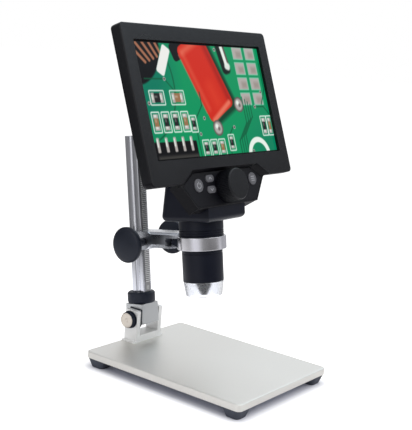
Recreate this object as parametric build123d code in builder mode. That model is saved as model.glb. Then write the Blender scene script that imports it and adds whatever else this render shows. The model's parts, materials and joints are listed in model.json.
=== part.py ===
"""Seven-inch LCD digital microscope on a tilting rack-and-pinion stand.

Millimetres, +Z up, front towards -Y. The origin is the middle of the whole object's outline seen
from above, at the floor.
"""
import os
from math import atan, cos, pi, radians, sin, sqrt, tan

from build123d import *

os.makedirs("parts", exist_ok=True)

# ---- driving dimensions --------------------------------------------------------------------
# Stand base: a flat aluminium plate on four square rubber feet.
BASE_W, BASE_D, PLATE_T = 119.0, 150.0, 5.5
BASE_Y = -11.4
BASE_CORNER, TOP_EDGE, LOW_EDGE = 4.0, 0.8, 0.4
FOOT_H, FOOT_TOP_W, FOOT_TIP_W, FOOT_INSET = 7.5, 17.0, 11.6, 8.9
FOOT_TOP_CORNER, FOOT_TIP_CORNER = 4.0, 3.0
PLATE_TOP = FOOT_H + PLATE_T
# Hinge bracket at the middle of the back edge.
BRACKET_FRONT, BRACKET_BACK = 50.3, 63.2
EAR_OUT, EAR_IN, EAR_TOP = 15.5, 11.2, 39.5
BRACKET_FLANGE, FLANGE_T, WEB_T, SEAT_DEEP = 3.1, 1.2, 5.6, 0.4
# Tilt pivot: a thumb screw through both ears and the pivot block.
PIVOT_Y, PIVOT_Z = 57.8, 31.4
PIVOT_R = 3.0
TILT_KNOB_R, TILT_KNOB_T, WASHER_T, SPACER_R = 6.7, 4.0, 0.8, 6.0
# Post: it leans back from the vertical, its own axis just in front of the pivot.
POST_LEAN = 9.0
POST_SETBACK = 1.4
BLOCK_HALF_W, BLOCK_FRONT, BLOCK_BACK = 10.4, 7.4, 10.6
BLOCK_LOW, BLOCK_TOP = -4.9, 11.7
COLLAR_R, COLLAR_H, COLLAR_SHIFT = 11.4, 9.5, 1.8
POST_W, POST_FRONT, POST_BACK, POST_TOP = 9.6, 5.8, 7.1, 149.8
# Rack and pinion: tooth tips stand proud of the post's front face.
MODULE = 0.5
RACK_W, RACK_TIP, RACK_LOW, RACK_HIGH = 6.0, 7.2, 28.0, 143.0
PINION_TEETH = 16
PINION_Z = 63.6
# Focus arm: carriage, neck and barrel ring in one casting.
ARM_HALF_W, ARM_TOP, ARM_LOW = 9.0, 71.9, 58.6
CARRIAGE_LOW, CARRIAGE_BACK, CARRIAGE_FRONT = 57.2, 11.6, 16.4
BARREL_OFFSET = 64.5
RING_R, RING_BORE, RING_LOW, RING_TOP = 19.2, 16.4, 59.6, 69.6
WINDOW_BACK, WINDOW_LOW, WINDOW_HIGH = 34.6, 60.6, 67.6
# Rack knobs: thin hubs and wide discs.
KNOB_R, KNOB_IN, KNOB_OUT = 14.5, 26.0, 31.0
HUB_R, HUB_ROOT_R = 4.6, 3.3
# Set screw of the ring: its head hangs in the window of the arm.
SCREW_Z, SCREW_HEAD_R, SCREW_HEAD_FRONT, SCREW_HEAD_BACK = 63.5, 3.9, 43.2, 38.6
# Microscope barrel.
SLEEVE_R, SLEEVE_LOW = 16.1, 34.1
UPPER_R, UPPER_TOP = 17.6, 82.4
TIP_LOW, TIP_R, TIP_WALL = 22.8, 14.4, 1.5
# Camera body under and behind the screen.
BODY_HALF_W, BODY_FRONT, BODY_BACK, BODY_CORNER = 23.5, 26.0, 24.5, 8.0
# Screen housing: it leans back further than the post.
SCREEN_LEAN = 20.3
SCREEN_REACH, SCREEN_RISE = 81.3, 175.1
WINDOW_W, WINDOW_H = 155.5, 88.0
HOUSING_W, HOUSING_H, HOUSING_DROP = 178.1, 118.0, 3.1
HOUSING_CORNER, HOUSING_T, BEZEL_T = 3.5, 10.0, 6.4
# Chin: a hexagonal control panel sunk behind the bezel face.
CHIN_TOP, CHIN_SIDE, CHIN_LOW = -52.4, -63.4, -81.3
CHIN_TOP_HALF, CHIN_SIDE_HALF, CHIN_LOW_HALF = 37.5, 52.3, 38.2
FASCIA_DEPTH, FASCIA_T, CHIN_BACK, CHIN_DROP = 4.6, 1.5, 16.0, 2.6
BUTTON_PROUD, BUTTON_TRAVEL, BUTTON_GAP = 1.0, 0.5, 0.15
WHEEL_R, WHEEL_PROUD, WHEEL_V = 12.4, 8.6, -67.3

# ---- frames --------------------------------------------------------------------------------
# Each frame keeps X to the right and Y to the back; its Z runs up its own leaning axis.


def leaning(origin, lean):
    """A frame at origin that leans back by lean degrees about X."""
    angle = radians(lean)
    return Plane(origin=origin, x_dir=(1, 0, 0), z_dir=(0, sin(angle), cos(angle)))


def place(frame, x, y, z):
    """World position of a point given in a frame."""
    return frame.from_local_coords(Vector(x, y, z))


def side_of(frame, x=0.0):
    """Sketch plane seen from +X: its x runs to the back and its y runs up the frame."""
    return Plane(origin=place(frame, x, 0, 0), x_dir=frame.y_dir, z_dir=frame.x_dir)


def front_of(frame, y=0.0):
    """Sketch plane seen from the front: its x runs right and its y runs up the frame."""
    return Plane(origin=place(frame, 0, y, 0), x_dir=frame.x_dir, z_dir=-frame.y_dir)


def level(frame, z, y=0.0):
    """Sketch plane across the frame's own axis, at height z."""
    return Plane(origin=place(frame, 0, y, z), x_dir=frame.x_dir, z_dir=frame.z_dir)


pivot = leaning((0, PIVOT_Y, PIVOT_Z), POST_LEAN)
post = leaning(place(pivot, 0, -POST_SETBACK, 0), POST_LEAN)
barrel = leaning(place(post, 0, -BARREL_OFFSET, 0), POST_LEAN)
screen = leaning(place(post, 0, -SCREEN_REACH, SCREEN_RISE), SCREEN_LEAN)
world = Plane.XY
STANDING = (Align.CENTER, Align.CENTER, Align.MIN)


def save(piece, label):
    """Label a finished piece and write its STEP file."""
    piece.part.label = label
    export_step(piece.part, f"parts/{label}.step")


# ---- base ----------------------------------------------------------------------------------
foot_x = BASE_W / 2 - FOOT_INSET
foot_y = BASE_D / 2 - FOOT_INSET
feet = {
    "foot_front_left": (-foot_x, BASE_Y - foot_y),
    "foot_front_right": (foot_x, BASE_Y - foot_y),
    "foot_back_left": (-foot_x, BASE_Y + foot_y),
    "foot_back_right": (foot_x, BASE_Y + foot_y),
}
FOOT_SCREW_R, FOOT_SCREW_LENGTH = 1.5, 7.0
BRACKET_SCREW_R, BRACKET_SCREW_X = 2.0, 6.5
bracket_y = (BRACKET_FRONT + BRACKET_BACK) / 2
bracket_screw_spots = [(-BRACKET_SCREW_X, bracket_y), (BRACKET_SCREW_X, bracket_y)]
web_top = PLATE_TOP + WEB_T
seat_z = PLATE_TOP - SEAT_DEEP
SEAT_CLEAR = 0.15
seat_front = BRACKET_FRONT - SEAT_CLEAR
plate_back = BASE_Y + BASE_D / 2

with BuildPart() as base_plate:
    with BuildSketch(Plane.XY.offset(FOOT_H)):
        with Locations((0, BASE_Y)):
            RectangleRounded(BASE_W, BASE_D, BASE_CORNER)
    extrude(amount=PLATE_T)
    fillet(base_plate.faces().sort_by(Axis.Z)[-1].edges(), TOP_EDGE)
    chamfer(base_plate.faces().sort_by(Axis.Z)[0].edges(), LOW_EDGE)
    # Milled seat of the bracket, open to the back.
    with BuildSketch(Plane.XY.offset(seat_z)):
        with Locations((0, (seat_front + plate_back) / 2)):
            Rectangle(2 * (EAR_OUT + BRACKET_FLANGE + SEAT_CLEAR), plate_back - seat_front)
    extrude(amount=2 * SEAT_DEEP, mode=Mode.SUBTRACT)
    # Blind holes for the foot screws.
    with Locations(*[(x, y, FOOT_H) for x, y in feet.values()]):
        Cylinder(FOOT_SCREW_R, 4.0, align=STANDING, mode=Mode.SUBTRACT)
    # Countersunk holes for the two bracket screws, entered from below.
    with Locations(*[Location((x, y, FOOT_H), (180, 0, 0)) for x, y in bracket_screw_spots]):
        CounterSinkHole(BRACKET_SCREW_R, 2 * BRACKET_SCREW_R, depth=PLATE_T, counter_sink_angle=90)
save(base_plate, "base_plate")

# Square rubber feet taper to the floor; a screw sits in the pocket of each.
FOOT_POCKET_R, FOOT_POCKET_H = 3.4, 3.5
for label, (x, y) in feet.items():
    with BuildPart() as foot:
        with BuildSketch():
            with Locations((x, y)):
                RectangleRounded(FOOT_TIP_W, FOOT_TIP_W, FOOT_TIP_CORNER)
        with BuildSketch(Plane.XY.offset(FOOT_H)):
            with Locations((x, y)):
                RectangleRounded(FOOT_TOP_W, FOOT_TOP_W, FOOT_TOP_CORNER)
        loft()
        with Locations(Location((x, y, 0), (180, 0, 0))):
            CounterBoreHole(FOOT_SCREW_R, FOOT_POCKET_R, FOOT_POCKET_H, depth=FOOT_H)
    save(foot, label)

with BuildPart() as foot_screws:
    with BuildSketch(Plane.XZ):
        with Locations((0, FOOT_POCKET_H - 1.0)):
            Rectangle(6.4, 2.0)
        with Locations((0, FOOT_POCKET_H + FOOT_SCREW_LENGTH / 2)):
            Rectangle(2 * FOOT_SCREW_R, FOOT_SCREW_LENGTH)
        split(bisect_by=Plane.YZ)
    revolve(axis=Axis.Z)
foot_screw = foot_screws.part
with BuildPart() as foot_screws:
    with Locations(*[(x, y, 0) for x, y in feet.values()]):
        add(foot_screw)
save(foot_screws, "foot_screws")

# ---- hinge bracket ---------------------------------------------------------------------------
with BuildPart() as hinge_bracket:
    with BuildSketch(Plane.XZ.offset(-BRACKET_BACK)):
        with BuildLine():
            Polyline(
                (0, seat_z), (EAR_OUT + BRACKET_FLANGE, seat_z),
                (EAR_OUT + BRACKET_FLANGE, PLATE_TOP + FLANGE_T), (EAR_OUT, PLATE_TOP + FLANGE_T),
                (EAR_OUT, EAR_TOP), (EAR_IN, EAR_TOP), (EAR_IN, web_top), (0, web_top), close=True,
            )
        make_face()
        mirror(about=Plane.YZ)
    extrude(amount=BRACKET_BACK - BRACKET_FRONT)
    chamfer(hinge_bracket.edges().filter_by(Axis.X).group_by(Axis.Z)[-1], 0.5)
    with BuildSketch(Plane.YZ.offset(-EAR_OUT)):
        with Locations((PIVOT_Y, PIVOT_Z)):
            Circle(PIVOT_R + 0.06)
    extrude(amount=2 * EAR_OUT, mode=Mode.SUBTRACT)
    with Locations(*[(x, y, seat_z) for x, y in bracket_screw_spots]):
        Cylinder(BRACKET_SCREW_R, 5.0, align=STANDING, mode=Mode.SUBTRACT)
save(hinge_bracket, "hinge_bracket")

# Countersunk hex-socket screws hold the bracket down from below.
with BuildPart() as bracket_screws:
    with Locations(*[(x, y, FOOT_H + 0.1) for x, y in bracket_screw_spots]):
        Cone(2 * BRACKET_SCREW_R - 0.1, BRACKET_SCREW_R - 0.05, 1.9, align=STANDING)
        Cylinder(BRACKET_SCREW_R - 0.05, 9.6, align=STANDING)
    with BuildSketch(Plane.XY.offset(FOOT_H)):
        with Locations(*bracket_screw_spots):
            RegularPolygon(1.4, 6)
    extrude(amount=1.4, mode=Mode.SUBTRACT)
save(bracket_screws, "bracket_screws")

# ---- tilt thumb screw ------------------------------------------------------------------------
# It clamps the ears on the pivot block. The black washer and the two spacers turn with it.
tilt_axis = Axis((0, PIVOT_Y, PIVOT_Z), (1, 0, 0))
washer_out = -EAR_OUT - 0.1 - WASHER_T
knob_face = washer_out - TILT_KNOB_T
KNURLS = 24

with BuildPart() as tilt_thumb_screw:
    with BuildSketch(front_of(world, PIVOT_Y)):
        with BuildLine():
            Polyline(
                (knob_face, PIVOT_Z), (knob_face, PIVOT_Z + TILT_KNOB_R - 0.6),
                (knob_face + 0.6, PIVOT_Z + TILT_KNOB_R), (washer_out - 0.3, PIVOT_Z + TILT_KNOB_R),
                (washer_out, PIVOT_Z + TILT_KNOB_R - 0.3), (washer_out, PIVOT_Z + PIVOT_R),
                (EAR_OUT - 0.9, PIVOT_Z + PIVOT_R), (EAR_OUT - 0.4, PIVOT_Z + PIVOT_R - 0.5),
                (EAR_OUT - 0.4, PIVOT_Z), close=True,
            )
        make_face()
    revolve(axis=tilt_axis)
    with BuildSketch(Plane(origin=(knob_face, PIVOT_Y, PIVOT_Z), x_dir=(0, 1, 0), z_dir=(1, 0, 0))):
        with PolarLocations(TILT_KNOB_R + 0.25, KNURLS):
            Circle(0.5)
    extrude(amount=TILT_KNOB_T, mode=Mode.SUBTRACT)
save(tilt_thumb_screw, "tilt_thumb_screw")

with BuildPart() as tilt_washer:
    with BuildSketch(Plane(origin=(washer_out, PIVOT_Y, PIVOT_Z), x_dir=(0, 1, 0), z_dir=(1, 0, 0))):
        Circle(TILT_KNOB_R + 0.5)
        Circle(PIVOT_R, mode=Mode.SUBTRACT)
    extrude(amount=WASHER_T)
    for x in (0.05 - EAR_IN, BLOCK_HALF_W + 0.05):
        with BuildSketch(Plane(origin=(x, PIVOT_Y, PIVOT_Z), x_dir=(0, 1, 0), z_dir=(1, 0, 0))):
            Circle(SPACER_R)
            Circle(PIVOT_R, mode=Mode.SUBTRACT)
        extrude(amount=EAR_IN - BLOCK_HALF_W - 0.1)
save(tilt_washer, "tilt_washer")

# ---- post --------------------------------------------------------------------------------------
POST_FOOT, GRUB_Z = 4.6, 7.8
post_depth = POST_FRONT + POST_BACK
post_mid = (POST_BACK - POST_FRONT) / 2

with BuildPart() as pivot_block:
    with BuildSketch(level(post, BLOCK_LOW)):
        with Locations((0, (BLOCK_BACK - BLOCK_FRONT) / 2)):
            Rectangle(2 * BLOCK_HALF_W, BLOCK_BACK + BLOCK_FRONT)
    extrude(amount=BLOCK_TOP - BLOCK_LOW)
    chamfer(pivot_block.edges().filter_by(Axis((0, 0, 0), post.z_dir)), 0.7)
    # Round bore for the thumb screw, square socket for the post, threaded hole for its grub screw.
    with BuildSketch(Plane.YZ.offset(-BLOCK_HALF_W)):
        with Locations((PIVOT_Y, PIVOT_Z)):
            Circle(PIVOT_R + 0.06)
    extrude(amount=2 * BLOCK_HALF_W, mode=Mode.SUBTRACT)
    with BuildSketch(level(post, POST_FOOT, post_mid)):
        RectangleRounded(POST_W, post_depth, 1.0)
    extrude(amount=BLOCK_TOP, mode=Mode.SUBTRACT)
    with BuildSketch(front_of(post, BLOCK_BACK)):
        with Locations((0, GRUB_Z)):
            Circle(1.5)
    extrude(amount=BLOCK_BACK - POST_BACK + 0.5, mode=Mode.SUBTRACT)
save(pivot_block, "pivot_block")

with BuildPart() as block_grub_screw:
    with BuildSketch(front_of(post, BLOCK_BACK - 0.3)):
        with Locations((0, GRUB_Z)):
            Circle(1.48)
    extrude(amount=BLOCK_BACK - POST_BACK - 0.3)
    with BuildSketch(front_of(post, BLOCK_BACK - 0.3)):
        with Locations((0, GRUB_Z)):
            RegularPolygon(0.8, 6)
    extrude(amount=1.5, mode=Mode.SUBTRACT)
save(block_grub_screw, "block_grub_screw")

with BuildPart() as post_collar:
    with BuildSketch(level(post, BLOCK_TOP, COLLAR_SHIFT)):
        Circle(COLLAR_R)
        with Locations((0, post_mid - COLLAR_SHIFT)):
            RectangleRounded(POST_W, post_depth, 1.0, mode=Mode.SUBTRACT)
    extrude(amount=COLLAR_H)
    rims = post_collar.edges().filter_by(GeomType.CIRCLE).filter_by(lambda edge: edge.radius > POST_W)
    chamfer(rims, 1.2)
save(post_collar, "post_collar")

# Extruded bar: a shallow round groove down each side, a slot in front for the rack.
RACK_SEAT = 3.4
GROOVE_R, GROOVE_DEEP = 3.2, 1.2
RACK_SCREW_R, RACK_SCREW_DEEP = 1.0, 2.6
rack_screw_spots = [(0, BLOCK_TOP + COLLAR_H + 3.4), (0, POST_TOP - 3.6)]
with BuildPart() as post_bar:
    with BuildSketch(level(post, POST_FOOT, post_mid)):
        RectangleRounded(POST_W, post_depth, 1.0)
        with Locations(*[(side * (POST_W / 2 + GROOVE_R - GROOVE_DEEP), 0.2) for side in (-1, 1)]):
            Circle(GROOVE_R, mode=Mode.SUBTRACT)
        with Locations((0, -post_depth / 2)):
            Rectangle(RACK_W, 2 * (POST_FRONT - RACK_SEAT), mode=Mode.SUBTRACT)
    extrude(amount=POST_TOP - POST_FOOT)
    with BuildSketch(front_of(post, -RACK_SEAT)):
        with Locations(*rack_screw_spots):
            Circle(RACK_SCREW_R)
    extrude(amount=-RACK_SCREW_DEEP, mode=Mode.SUBTRACT)
save(post_bar, "post_bar")

# ---- rack and pinion teeth ---------------------------------------------------------------------
PRESSURE = radians(20)
ADDENDUM, DEDENDUM, BACKLASH = 0.8 * MODULE, 1.15 * MODULE, 0.08
pitch = pi * MODULE


def rack_line(first, count, pitch_line, direction=1):
    """Points of a toothed edge: (out, along) pairs, its teeth pointing along direction.

    A rack tooth is a trapezium whose flanks lean by the pressure angle.
    """
    half = pitch / 4 - BACKLASH / 4
    tip = half - ADDENDUM * tan(PRESSURE)
    root = half + DEDENDUM * tan(PRESSURE)
    points = []
    for k in range(count):
        middle = first + k * pitch
        low, high = pitch_line - direction * DEDENDUM, pitch_line + direction * ADDENDUM
        points += [(low, middle - root), (high, middle - tip), (high, middle + tip), (low, middle + root)]
    return points


def pinion_outline(teeth, centre):
    """Outline of a spur gear with involute flanks around centre; one tooth points along sketch x.

    On the involute the half tooth angle at radius r is
    pi / (2 teeth) + inv(pressure) - inv(a), with cos(a) = base / r and inv(a) = tan(a) - a.
    """
    radius = teeth * MODULE / 2
    base = radius * cos(PRESSURE)
    inv = tan(PRESSURE) - PRESSURE
    points = []
    for k in range(teeth):
        middle = 2 * pi * k / teeth
        flank = []
        for r in (radius - DEDENDUM, base + 0.02, radius, radius + ADDENDUM):
            slope = sqrt(max(r * r / (base * base) - 1, 0))
            inv_r = slope - atan(slope)
            flank.append((r, pi / (2 * teeth) - BACKLASH / (4 * radius) + inv - inv_r))
        turns = [(r, middle - half) for r, half in flank]
        turns += [(r, middle + half) for r, half in reversed(flank)]
        points += [(centre[0] + r * cos(turn), centre[1] + r * sin(turn)) for r, turn in turns]
    return points


pinion_r = PINION_TEETH * MODULE / 2
rack_pitch_line = RACK_TIP - ADDENDUM
pinion_y = -(rack_pitch_line + pinion_r)
rack_below = int((PINION_Z - RACK_LOW) / pitch)
rack_above = int((RACK_HIGH - PINION_Z) / pitch)
first_tooth = PINION_Z - (rack_below - 0.5) * pitch
rack_root = rack_pitch_line - DEDENDUM
RACK_HEAD_R, RACK_HEAD_T = 1.9, 1.3

with BuildPart() as gear_rack:
    with BuildSketch(side_of(post)):
        with BuildLine():
            edge = rack_line(first_tooth, rack_below + rack_above, rack_pitch_line)
            toothed = [(-out, up) for out, up in edge]
            Polyline(
                (-RACK_SEAT, BLOCK_TOP + COLLAR_H), (-rack_root, BLOCK_TOP + COLLAR_H), *toothed,
                (-rack_root, POST_TOP - 1), (-RACK_SEAT, POST_TOP - 1), close=True,
            )
        make_face()
    extrude(amount=RACK_W / 2, both=True)
    with BuildSketch(front_of(post, -rack_root)):
        with Locations(*rack_screw_spots):
            Circle(RACK_SCREW_R)
    extrude(amount=-RACK_W, mode=Mode.SUBTRACT)
    with BuildSketch(front_of(post, -rack_root)):
        with Locations(*rack_screw_spots):
            Circle(RACK_HEAD_R)
    extrude(amount=-RACK_HEAD_T, mode=Mode.SUBTRACT)
save(gear_rack, "gear_rack")

# Two slotted screws in the plain ends of the rack.
with BuildPart() as rack_screws:
    with BuildSketch(front_of(post, -rack_root + 0.1)):
        with Locations(*rack_screw_spots):
            Circle(RACK_HEAD_R - 0.05)
    extrude(amount=-(RACK_HEAD_T - 0.1))
    with BuildSketch(front_of(post, -rack_root + 0.5)):
        with Locations(*rack_screw_spots):
            Circle(RACK_SCREW_R - 0.02)
    extrude(amount=-(rack_root - RACK_SEAT + RACK_SCREW_DEEP - 0.7))
    with BuildSketch(front_of(post, -rack_root + 0.1)):
        with Locations(*rack_screw_spots):
            Rectangle(2 * RACK_HEAD_R, 0.5)
    extrude(amount=-0.5, mode=Mode.SUBTRACT)
save(rack_screws, "rack_screws")

# ---- focus arm: carriage, neck and ring --------------------------------------------------------
SLIDE_GAP = 0.08
SHAFT_R, BUSH_R, BUSH_IN = 2.0, 5.4, 4.2
PAD_W, PAD_T = 7.0, 1.6
TENSION_Z = (PINION_Z - 3.4, PINION_Z + 3.4)
drive_axis_at = (pinion_y, PINION_Z)

with BuildPart() as focus_arm:
    # Neck with a wide bevel along each lower edge.
    with BuildSketch(front_of(post, -CARRIAGE_FRONT + 4)):
        with BuildLine():
            Polyline(
                (0, ARM_LOW), (ARM_HALF_W - 3.4, ARM_LOW), (ARM_HALF_W, ARM_LOW + 3.4),
                (ARM_HALF_W, ARM_TOP - 1.8), (ARM_HALF_W - 1.8, ARM_TOP), (0, ARM_TOP), close=True,
            )
        make_face()
        mirror(about=Plane.YZ)
    extrude(amount=BARREL_OFFSET - CARRIAGE_FRONT - 8)
    # Carriage around the post; its lower front corner is cut away under the neck.
    with BuildSketch(side_of(post)):
        with BuildLine():
            Polyline(
                (CARRIAGE_BACK, CARRIAGE_LOW), (-CARRIAGE_FRONT + 3.2, CARRIAGE_LOW),
                (-CARRIAGE_FRONT - 3.4, ARM_LOW + 3.4), (-CARRIAGE_FRONT - 3.4, ARM_TOP - 1.8),
                (-CARRIAGE_FRONT, ARM_TOP), (CARRIAGE_BACK - 1.2, ARM_TOP),
                (CARRIAGE_BACK, ARM_TOP - 1.2), close=True,
            )
        make_face()
    extrude(amount=ARM_HALF_W, both=True)
    # Window between the neck and the ring.
    with BuildSketch(side_of(post)):
        with BuildLine():
            Polyline(
                (-WINDOW_BACK, WINDOW_LOW), (-BARREL_OFFSET + RING_BORE, WINDOW_LOW),
                (-BARREL_OFFSET + RING_BORE, WINDOW_HIGH), (-WINDOW_BACK, WINDOW_HIGH), close=True,
            )
        make_face()
        fillet(vertices().group_by(Axis.Y)[-1], 1.8)
    extrude(amount=ARM_HALF_W, both=True, mode=Mode.SUBTRACT)
    # Ring, and the clearance of the barrel's upper collar above it.
    with BuildSketch(level(barrel, RING_LOW)):
        Circle(RING_R)
    extrude(amount=RING_TOP - RING_LOW)
    with BuildSketch(level(barrel, RING_TOP)):
        Circle(UPPER_R + 0.3)
    extrude(amount=ARM_TOP, mode=Mode.SUBTRACT)
    with BuildSketch(level(barrel, 0)):
        Circle(SLEEVE_R + SLIDE_GAP)
    extrude(amount=2 * ARM_TOP, mode=Mode.SUBTRACT)
    # Channel for the post and the rack, pinion bore, pad pocket and threaded holes.
    with BuildSketch(level(post, 0)):
        with Locations((0, post_mid)):
            RectangleRounded(POST_W + 2 * SLIDE_GAP, post_depth + 2 * SLIDE_GAP, 1.0)
        with Locations((0, -POST_FRONT)):
            Rectangle(RACK_W + 0.6, 2 * (RACK_TIP - POST_FRONT + 0.4))
    extrude(amount=2 * ARM_TOP, mode=Mode.SUBTRACT)
    with BuildSketch(side_of(post)):
        with Locations(drive_axis_at):
            Circle(BUSH_R)
    extrude(amount=ARM_HALF_W, both=True, mode=Mode.SUBTRACT)
    with BuildSketch(front_of(post, CARRIAGE_BACK)):
        with Locations(*[(0, z) for z in TENSION_Z]):
            Circle(1.5)
    extrude(amount=CARRIAGE_BACK - POST_BACK, mode=Mode.SUBTRACT)
    with BuildSketch(side_of(post)):
        with Locations((POST_BACK + PAD_T / 2, PINION_Z)):
            Rectangle(PAD_T + 0.3, 12.0)
    extrude(amount=PAD_W / 2, both=True, mode=Mode.SUBTRACT)
    with BuildSketch(front_of(post, -WINDOW_BACK)):
        with Locations((0, SCREW_Z)):
            Circle(1.5)
    extrude(amount=BARREL_OFFSET - WINDOW_BACK, mode=Mode.SUBTRACT)
    # Slot through the lower bar of the window, for the fingers that turn the set screw.
    with BuildSketch(side_of(post)):
        with Locations((-(SCREW_HEAD_FRONT + SCREW_HEAD_BACK) / 2, ARM_LOW)):
            Rectangle(SCREW_HEAD_FRONT - SCREW_HEAD_BACK + 1.4, 2 * (WINDOW_LOW - ARM_LOW))
    extrude(amount=ARM_HALF_W, both=True, mode=Mode.SUBTRACT)
save(focus_arm, "focus_arm")

with BuildPart() as glide_pad:
    with BuildSketch(side_of(post)):
        with Locations((POST_BACK + SLIDE_GAP + PAD_T / 2, PINION_Z)):
            Rectangle(PAD_T, 11.6)
    extrude(amount=PAD_W / 2 - 0.1, both=True)
save(glide_pad, "glide_pad")

# Two grub screws at the back of the carriage press the pad on the post.
with BuildPart() as tension_screws:
    pad_back = POST_BACK + SLIDE_GAP + PAD_T
    with BuildSketch(front_of(post, CARRIAGE_BACK - 0.5)):
        with Locations(*[(0, z) for z in TENSION_Z]):
            Circle(1.48)
    extrude(amount=CARRIAGE_BACK - 0.5 - pad_back)
    with BuildSketch(front_of(post, CARRIAGE_BACK - 0.5)):
        with Locations(*[(0, z) for z in TENSION_Z]):
            RegularPolygon(0.8, 6)
    extrude(amount=1.2, mode=Mode.SUBTRACT)
save(tension_screws, "tension_screws")

# ---- pinion, shaft and rack knobs --------------------------------------------------------------
drive_axis = Axis(place(post, 0, pinion_y, PINION_Z), (1, 0, 0))
drive_front = front_of(post, pinion_y)

for label, side in (("pinion_bush_left", -1), ("pinion_bush_right", 1)):
    with BuildPart() as bush:
        with BuildSketch(side_of(post, side * BUSH_IN)):
            with Locations(drive_axis_at):
                Circle(BUSH_R - 0.02)
                Circle(SHAFT_R + 0.05, mode=Mode.SUBTRACT)
        extrude(amount=side * (ARM_HALF_W - BUSH_IN - 0.2))
        # The bush is cut away where the rack passes.
        with BuildSketch(level(post, 0)):
            with Locations((0, -POST_FRONT)):
                Rectangle(2 * ARM_HALF_W, 2 * (RACK_TIP - POST_FRONT + 0.4))
        extrude(amount=2 * ARM_TOP, mode=Mode.SUBTRACT)
    save(bush, label)

with BuildPart() as drive_pinion:
    with BuildSketch(side_of(post)):
        with BuildLine():
            Polyline(*pinion_outline(PINION_TEETH, drive_axis_at), close=True)
        make_face()
        with Locations(drive_axis_at):
            Circle(SHAFT_R, mode=Mode.SUBTRACT)
    extrude(amount=BUSH_IN - 0.4, both=True)
save(drive_pinion, "drive_pinion")

with BuildPart() as drive_shaft:
    with BuildSketch(side_of(post)):
        with Locations(drive_axis_at):
            Circle(SHAFT_R)
    extrude(amount=KNOB_OUT - 3, both=True)
save(drive_shaft, "drive_shaft")

# Knobs: a tapering hub, then a wide disc with a softly domed face.
for label, side in (("rack_knob_left", -1), ("rack_knob_right", 1)):
    with BuildPart() as knob:
        with BuildSketch(drive_front):
            with BuildLine():
                Polyline(
                    (side * (KNOB_OUT - 3), PINION_Z), (side * (KNOB_OUT - 3), PINION_Z + SHAFT_R),
                    (side * (ARM_HALF_W + 0.4), PINION_Z + SHAFT_R),
                    (side * (ARM_HALF_W + 0.4), PINION_Z + HUB_ROOT_R), (side * KNOB_IN, PINION_Z + HUB_R),
                    (side * KNOB_IN, PINION_Z + KNOB_R - 1.2), (side * (KNOB_IN + 1.2), PINION_Z + KNOB_R),
                    (side * (KNOB_OUT - 3.2), PINION_Z + KNOB_R),
                )
                rim = (side * (KNOB_OUT - 1.2), PINION_Z + KNOB_R - 2.2)
                RadiusArc((side * (KNOB_OUT - 3.2), PINION_Z + KNOB_R), rim, side * 2.3)
                RadiusArc(rim, (side * KNOB_OUT, PINION_Z + 1), side * 56)
                Line((side * KNOB_OUT, PINION_Z + 1), (side * KNOB_OUT, PINION_Z))
                Line((side * KNOB_OUT, PINION_Z), (side * (KNOB_OUT - 3), PINION_Z))
            make_face()
        revolve(axis=drive_axis)
    save(knob, label)

# ---- ring set screw: a small knurled screw in the window holds the barrel in the ring ---------
screw_axis = Axis(place(post, 0, 0, SCREW_Z), -post.y_dir)
with BuildPart() as ring_set_screw:
    with BuildSketch(side_of(post)):
        with BuildLine():
            Polyline(
                (-SCREW_HEAD_BACK, SCREW_Z), (-SCREW_HEAD_BACK, SCREW_Z + SCREW_HEAD_R - 0.4),
                (-SCREW_HEAD_BACK - 0.4, SCREW_Z + SCREW_HEAD_R),
                (-SCREW_HEAD_FRONT, SCREW_Z + SCREW_HEAD_R),
                (-SCREW_HEAD_FRONT, SCREW_Z + 1.45), (-BARREL_OFFSET + SLEEVE_R + 0.1, SCREW_Z + 1.45),
                (-BARREL_OFFSET + SLEEVE_R + 0.1, SCREW_Z), close=True,
            )
        make_face()
    revolve(axis=screw_axis)
save(ring_set_screw, "ring_set_screw")

# ---- barrel --------------------------------------------------------------------------------------
barrel_side = side_of(barrel)
barrel_axis = Axis(barrel.origin, barrel.z_dir)
SLEEVE_WALL, BOARD_Z, BOARD_T = 2.4, 36.4, 1.2
sleeve_in = SLEEVE_R - SLEEVE_WALL


def turned(points, label):
    """Revolve an (radius, height) outline about the barrel axis and save it."""
    with BuildPart() as piece:
        with BuildSketch(barrel_side):
            with BuildLine():
                Polyline(*points, close=True)
            make_face()
        revolve(axis=barrel_axis)
    save(piece, label)


# Lower sleeve: one fine groove below the ring, a step inside for the lamp board.
turned(
    [
        (sleeve_in, SLEEVE_LOW), (SLEEVE_R - 0.4, SLEEVE_LOW), (SLEEVE_R, SLEEVE_LOW + 0.4),
        (SLEEVE_R, 56.2), (SLEEVE_R - 0.35, 56.4), (SLEEVE_R - 0.35, 56.9), (SLEEVE_R, 57.1),
        (SLEEVE_R, RING_TOP + 0.1),
        (SLEEVE_R - 1.0, RING_TOP + 0.1), (SLEEVE_R - 1.0, 78.0), (sleeve_in, 78.0), (sleeve_in, 40.6),
        (sleeve_in - 1.4, 40.6), (sleeve_in - 1.4, 39.2), (sleeve_in, 39.2),
    ],
    "barrel_sleeve",
)
# Upper collar with three grip grooves, resting on the ring.
upper = [(SLEEVE_R - 1.0, RING_TOP + 0.1), (UPPER_R - 0.4, RING_TOP + 0.1), (UPPER_R, RING_TOP + 0.5)]
for groove_z in (71.2, 73.0, 74.8):
    upper += [
        (UPPER_R, groove_z - 0.4), (UPPER_R - 0.5, groove_z - 0.2),
        (UPPER_R - 0.5, groove_z + 0.2), (UPPER_R, groove_z + 0.4),
    ]
upper += [(UPPER_R, UPPER_TOP), (SLEEVE_R - 1.0, UPPER_TOP)]
turned(upper, "barrel_collar")
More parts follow.
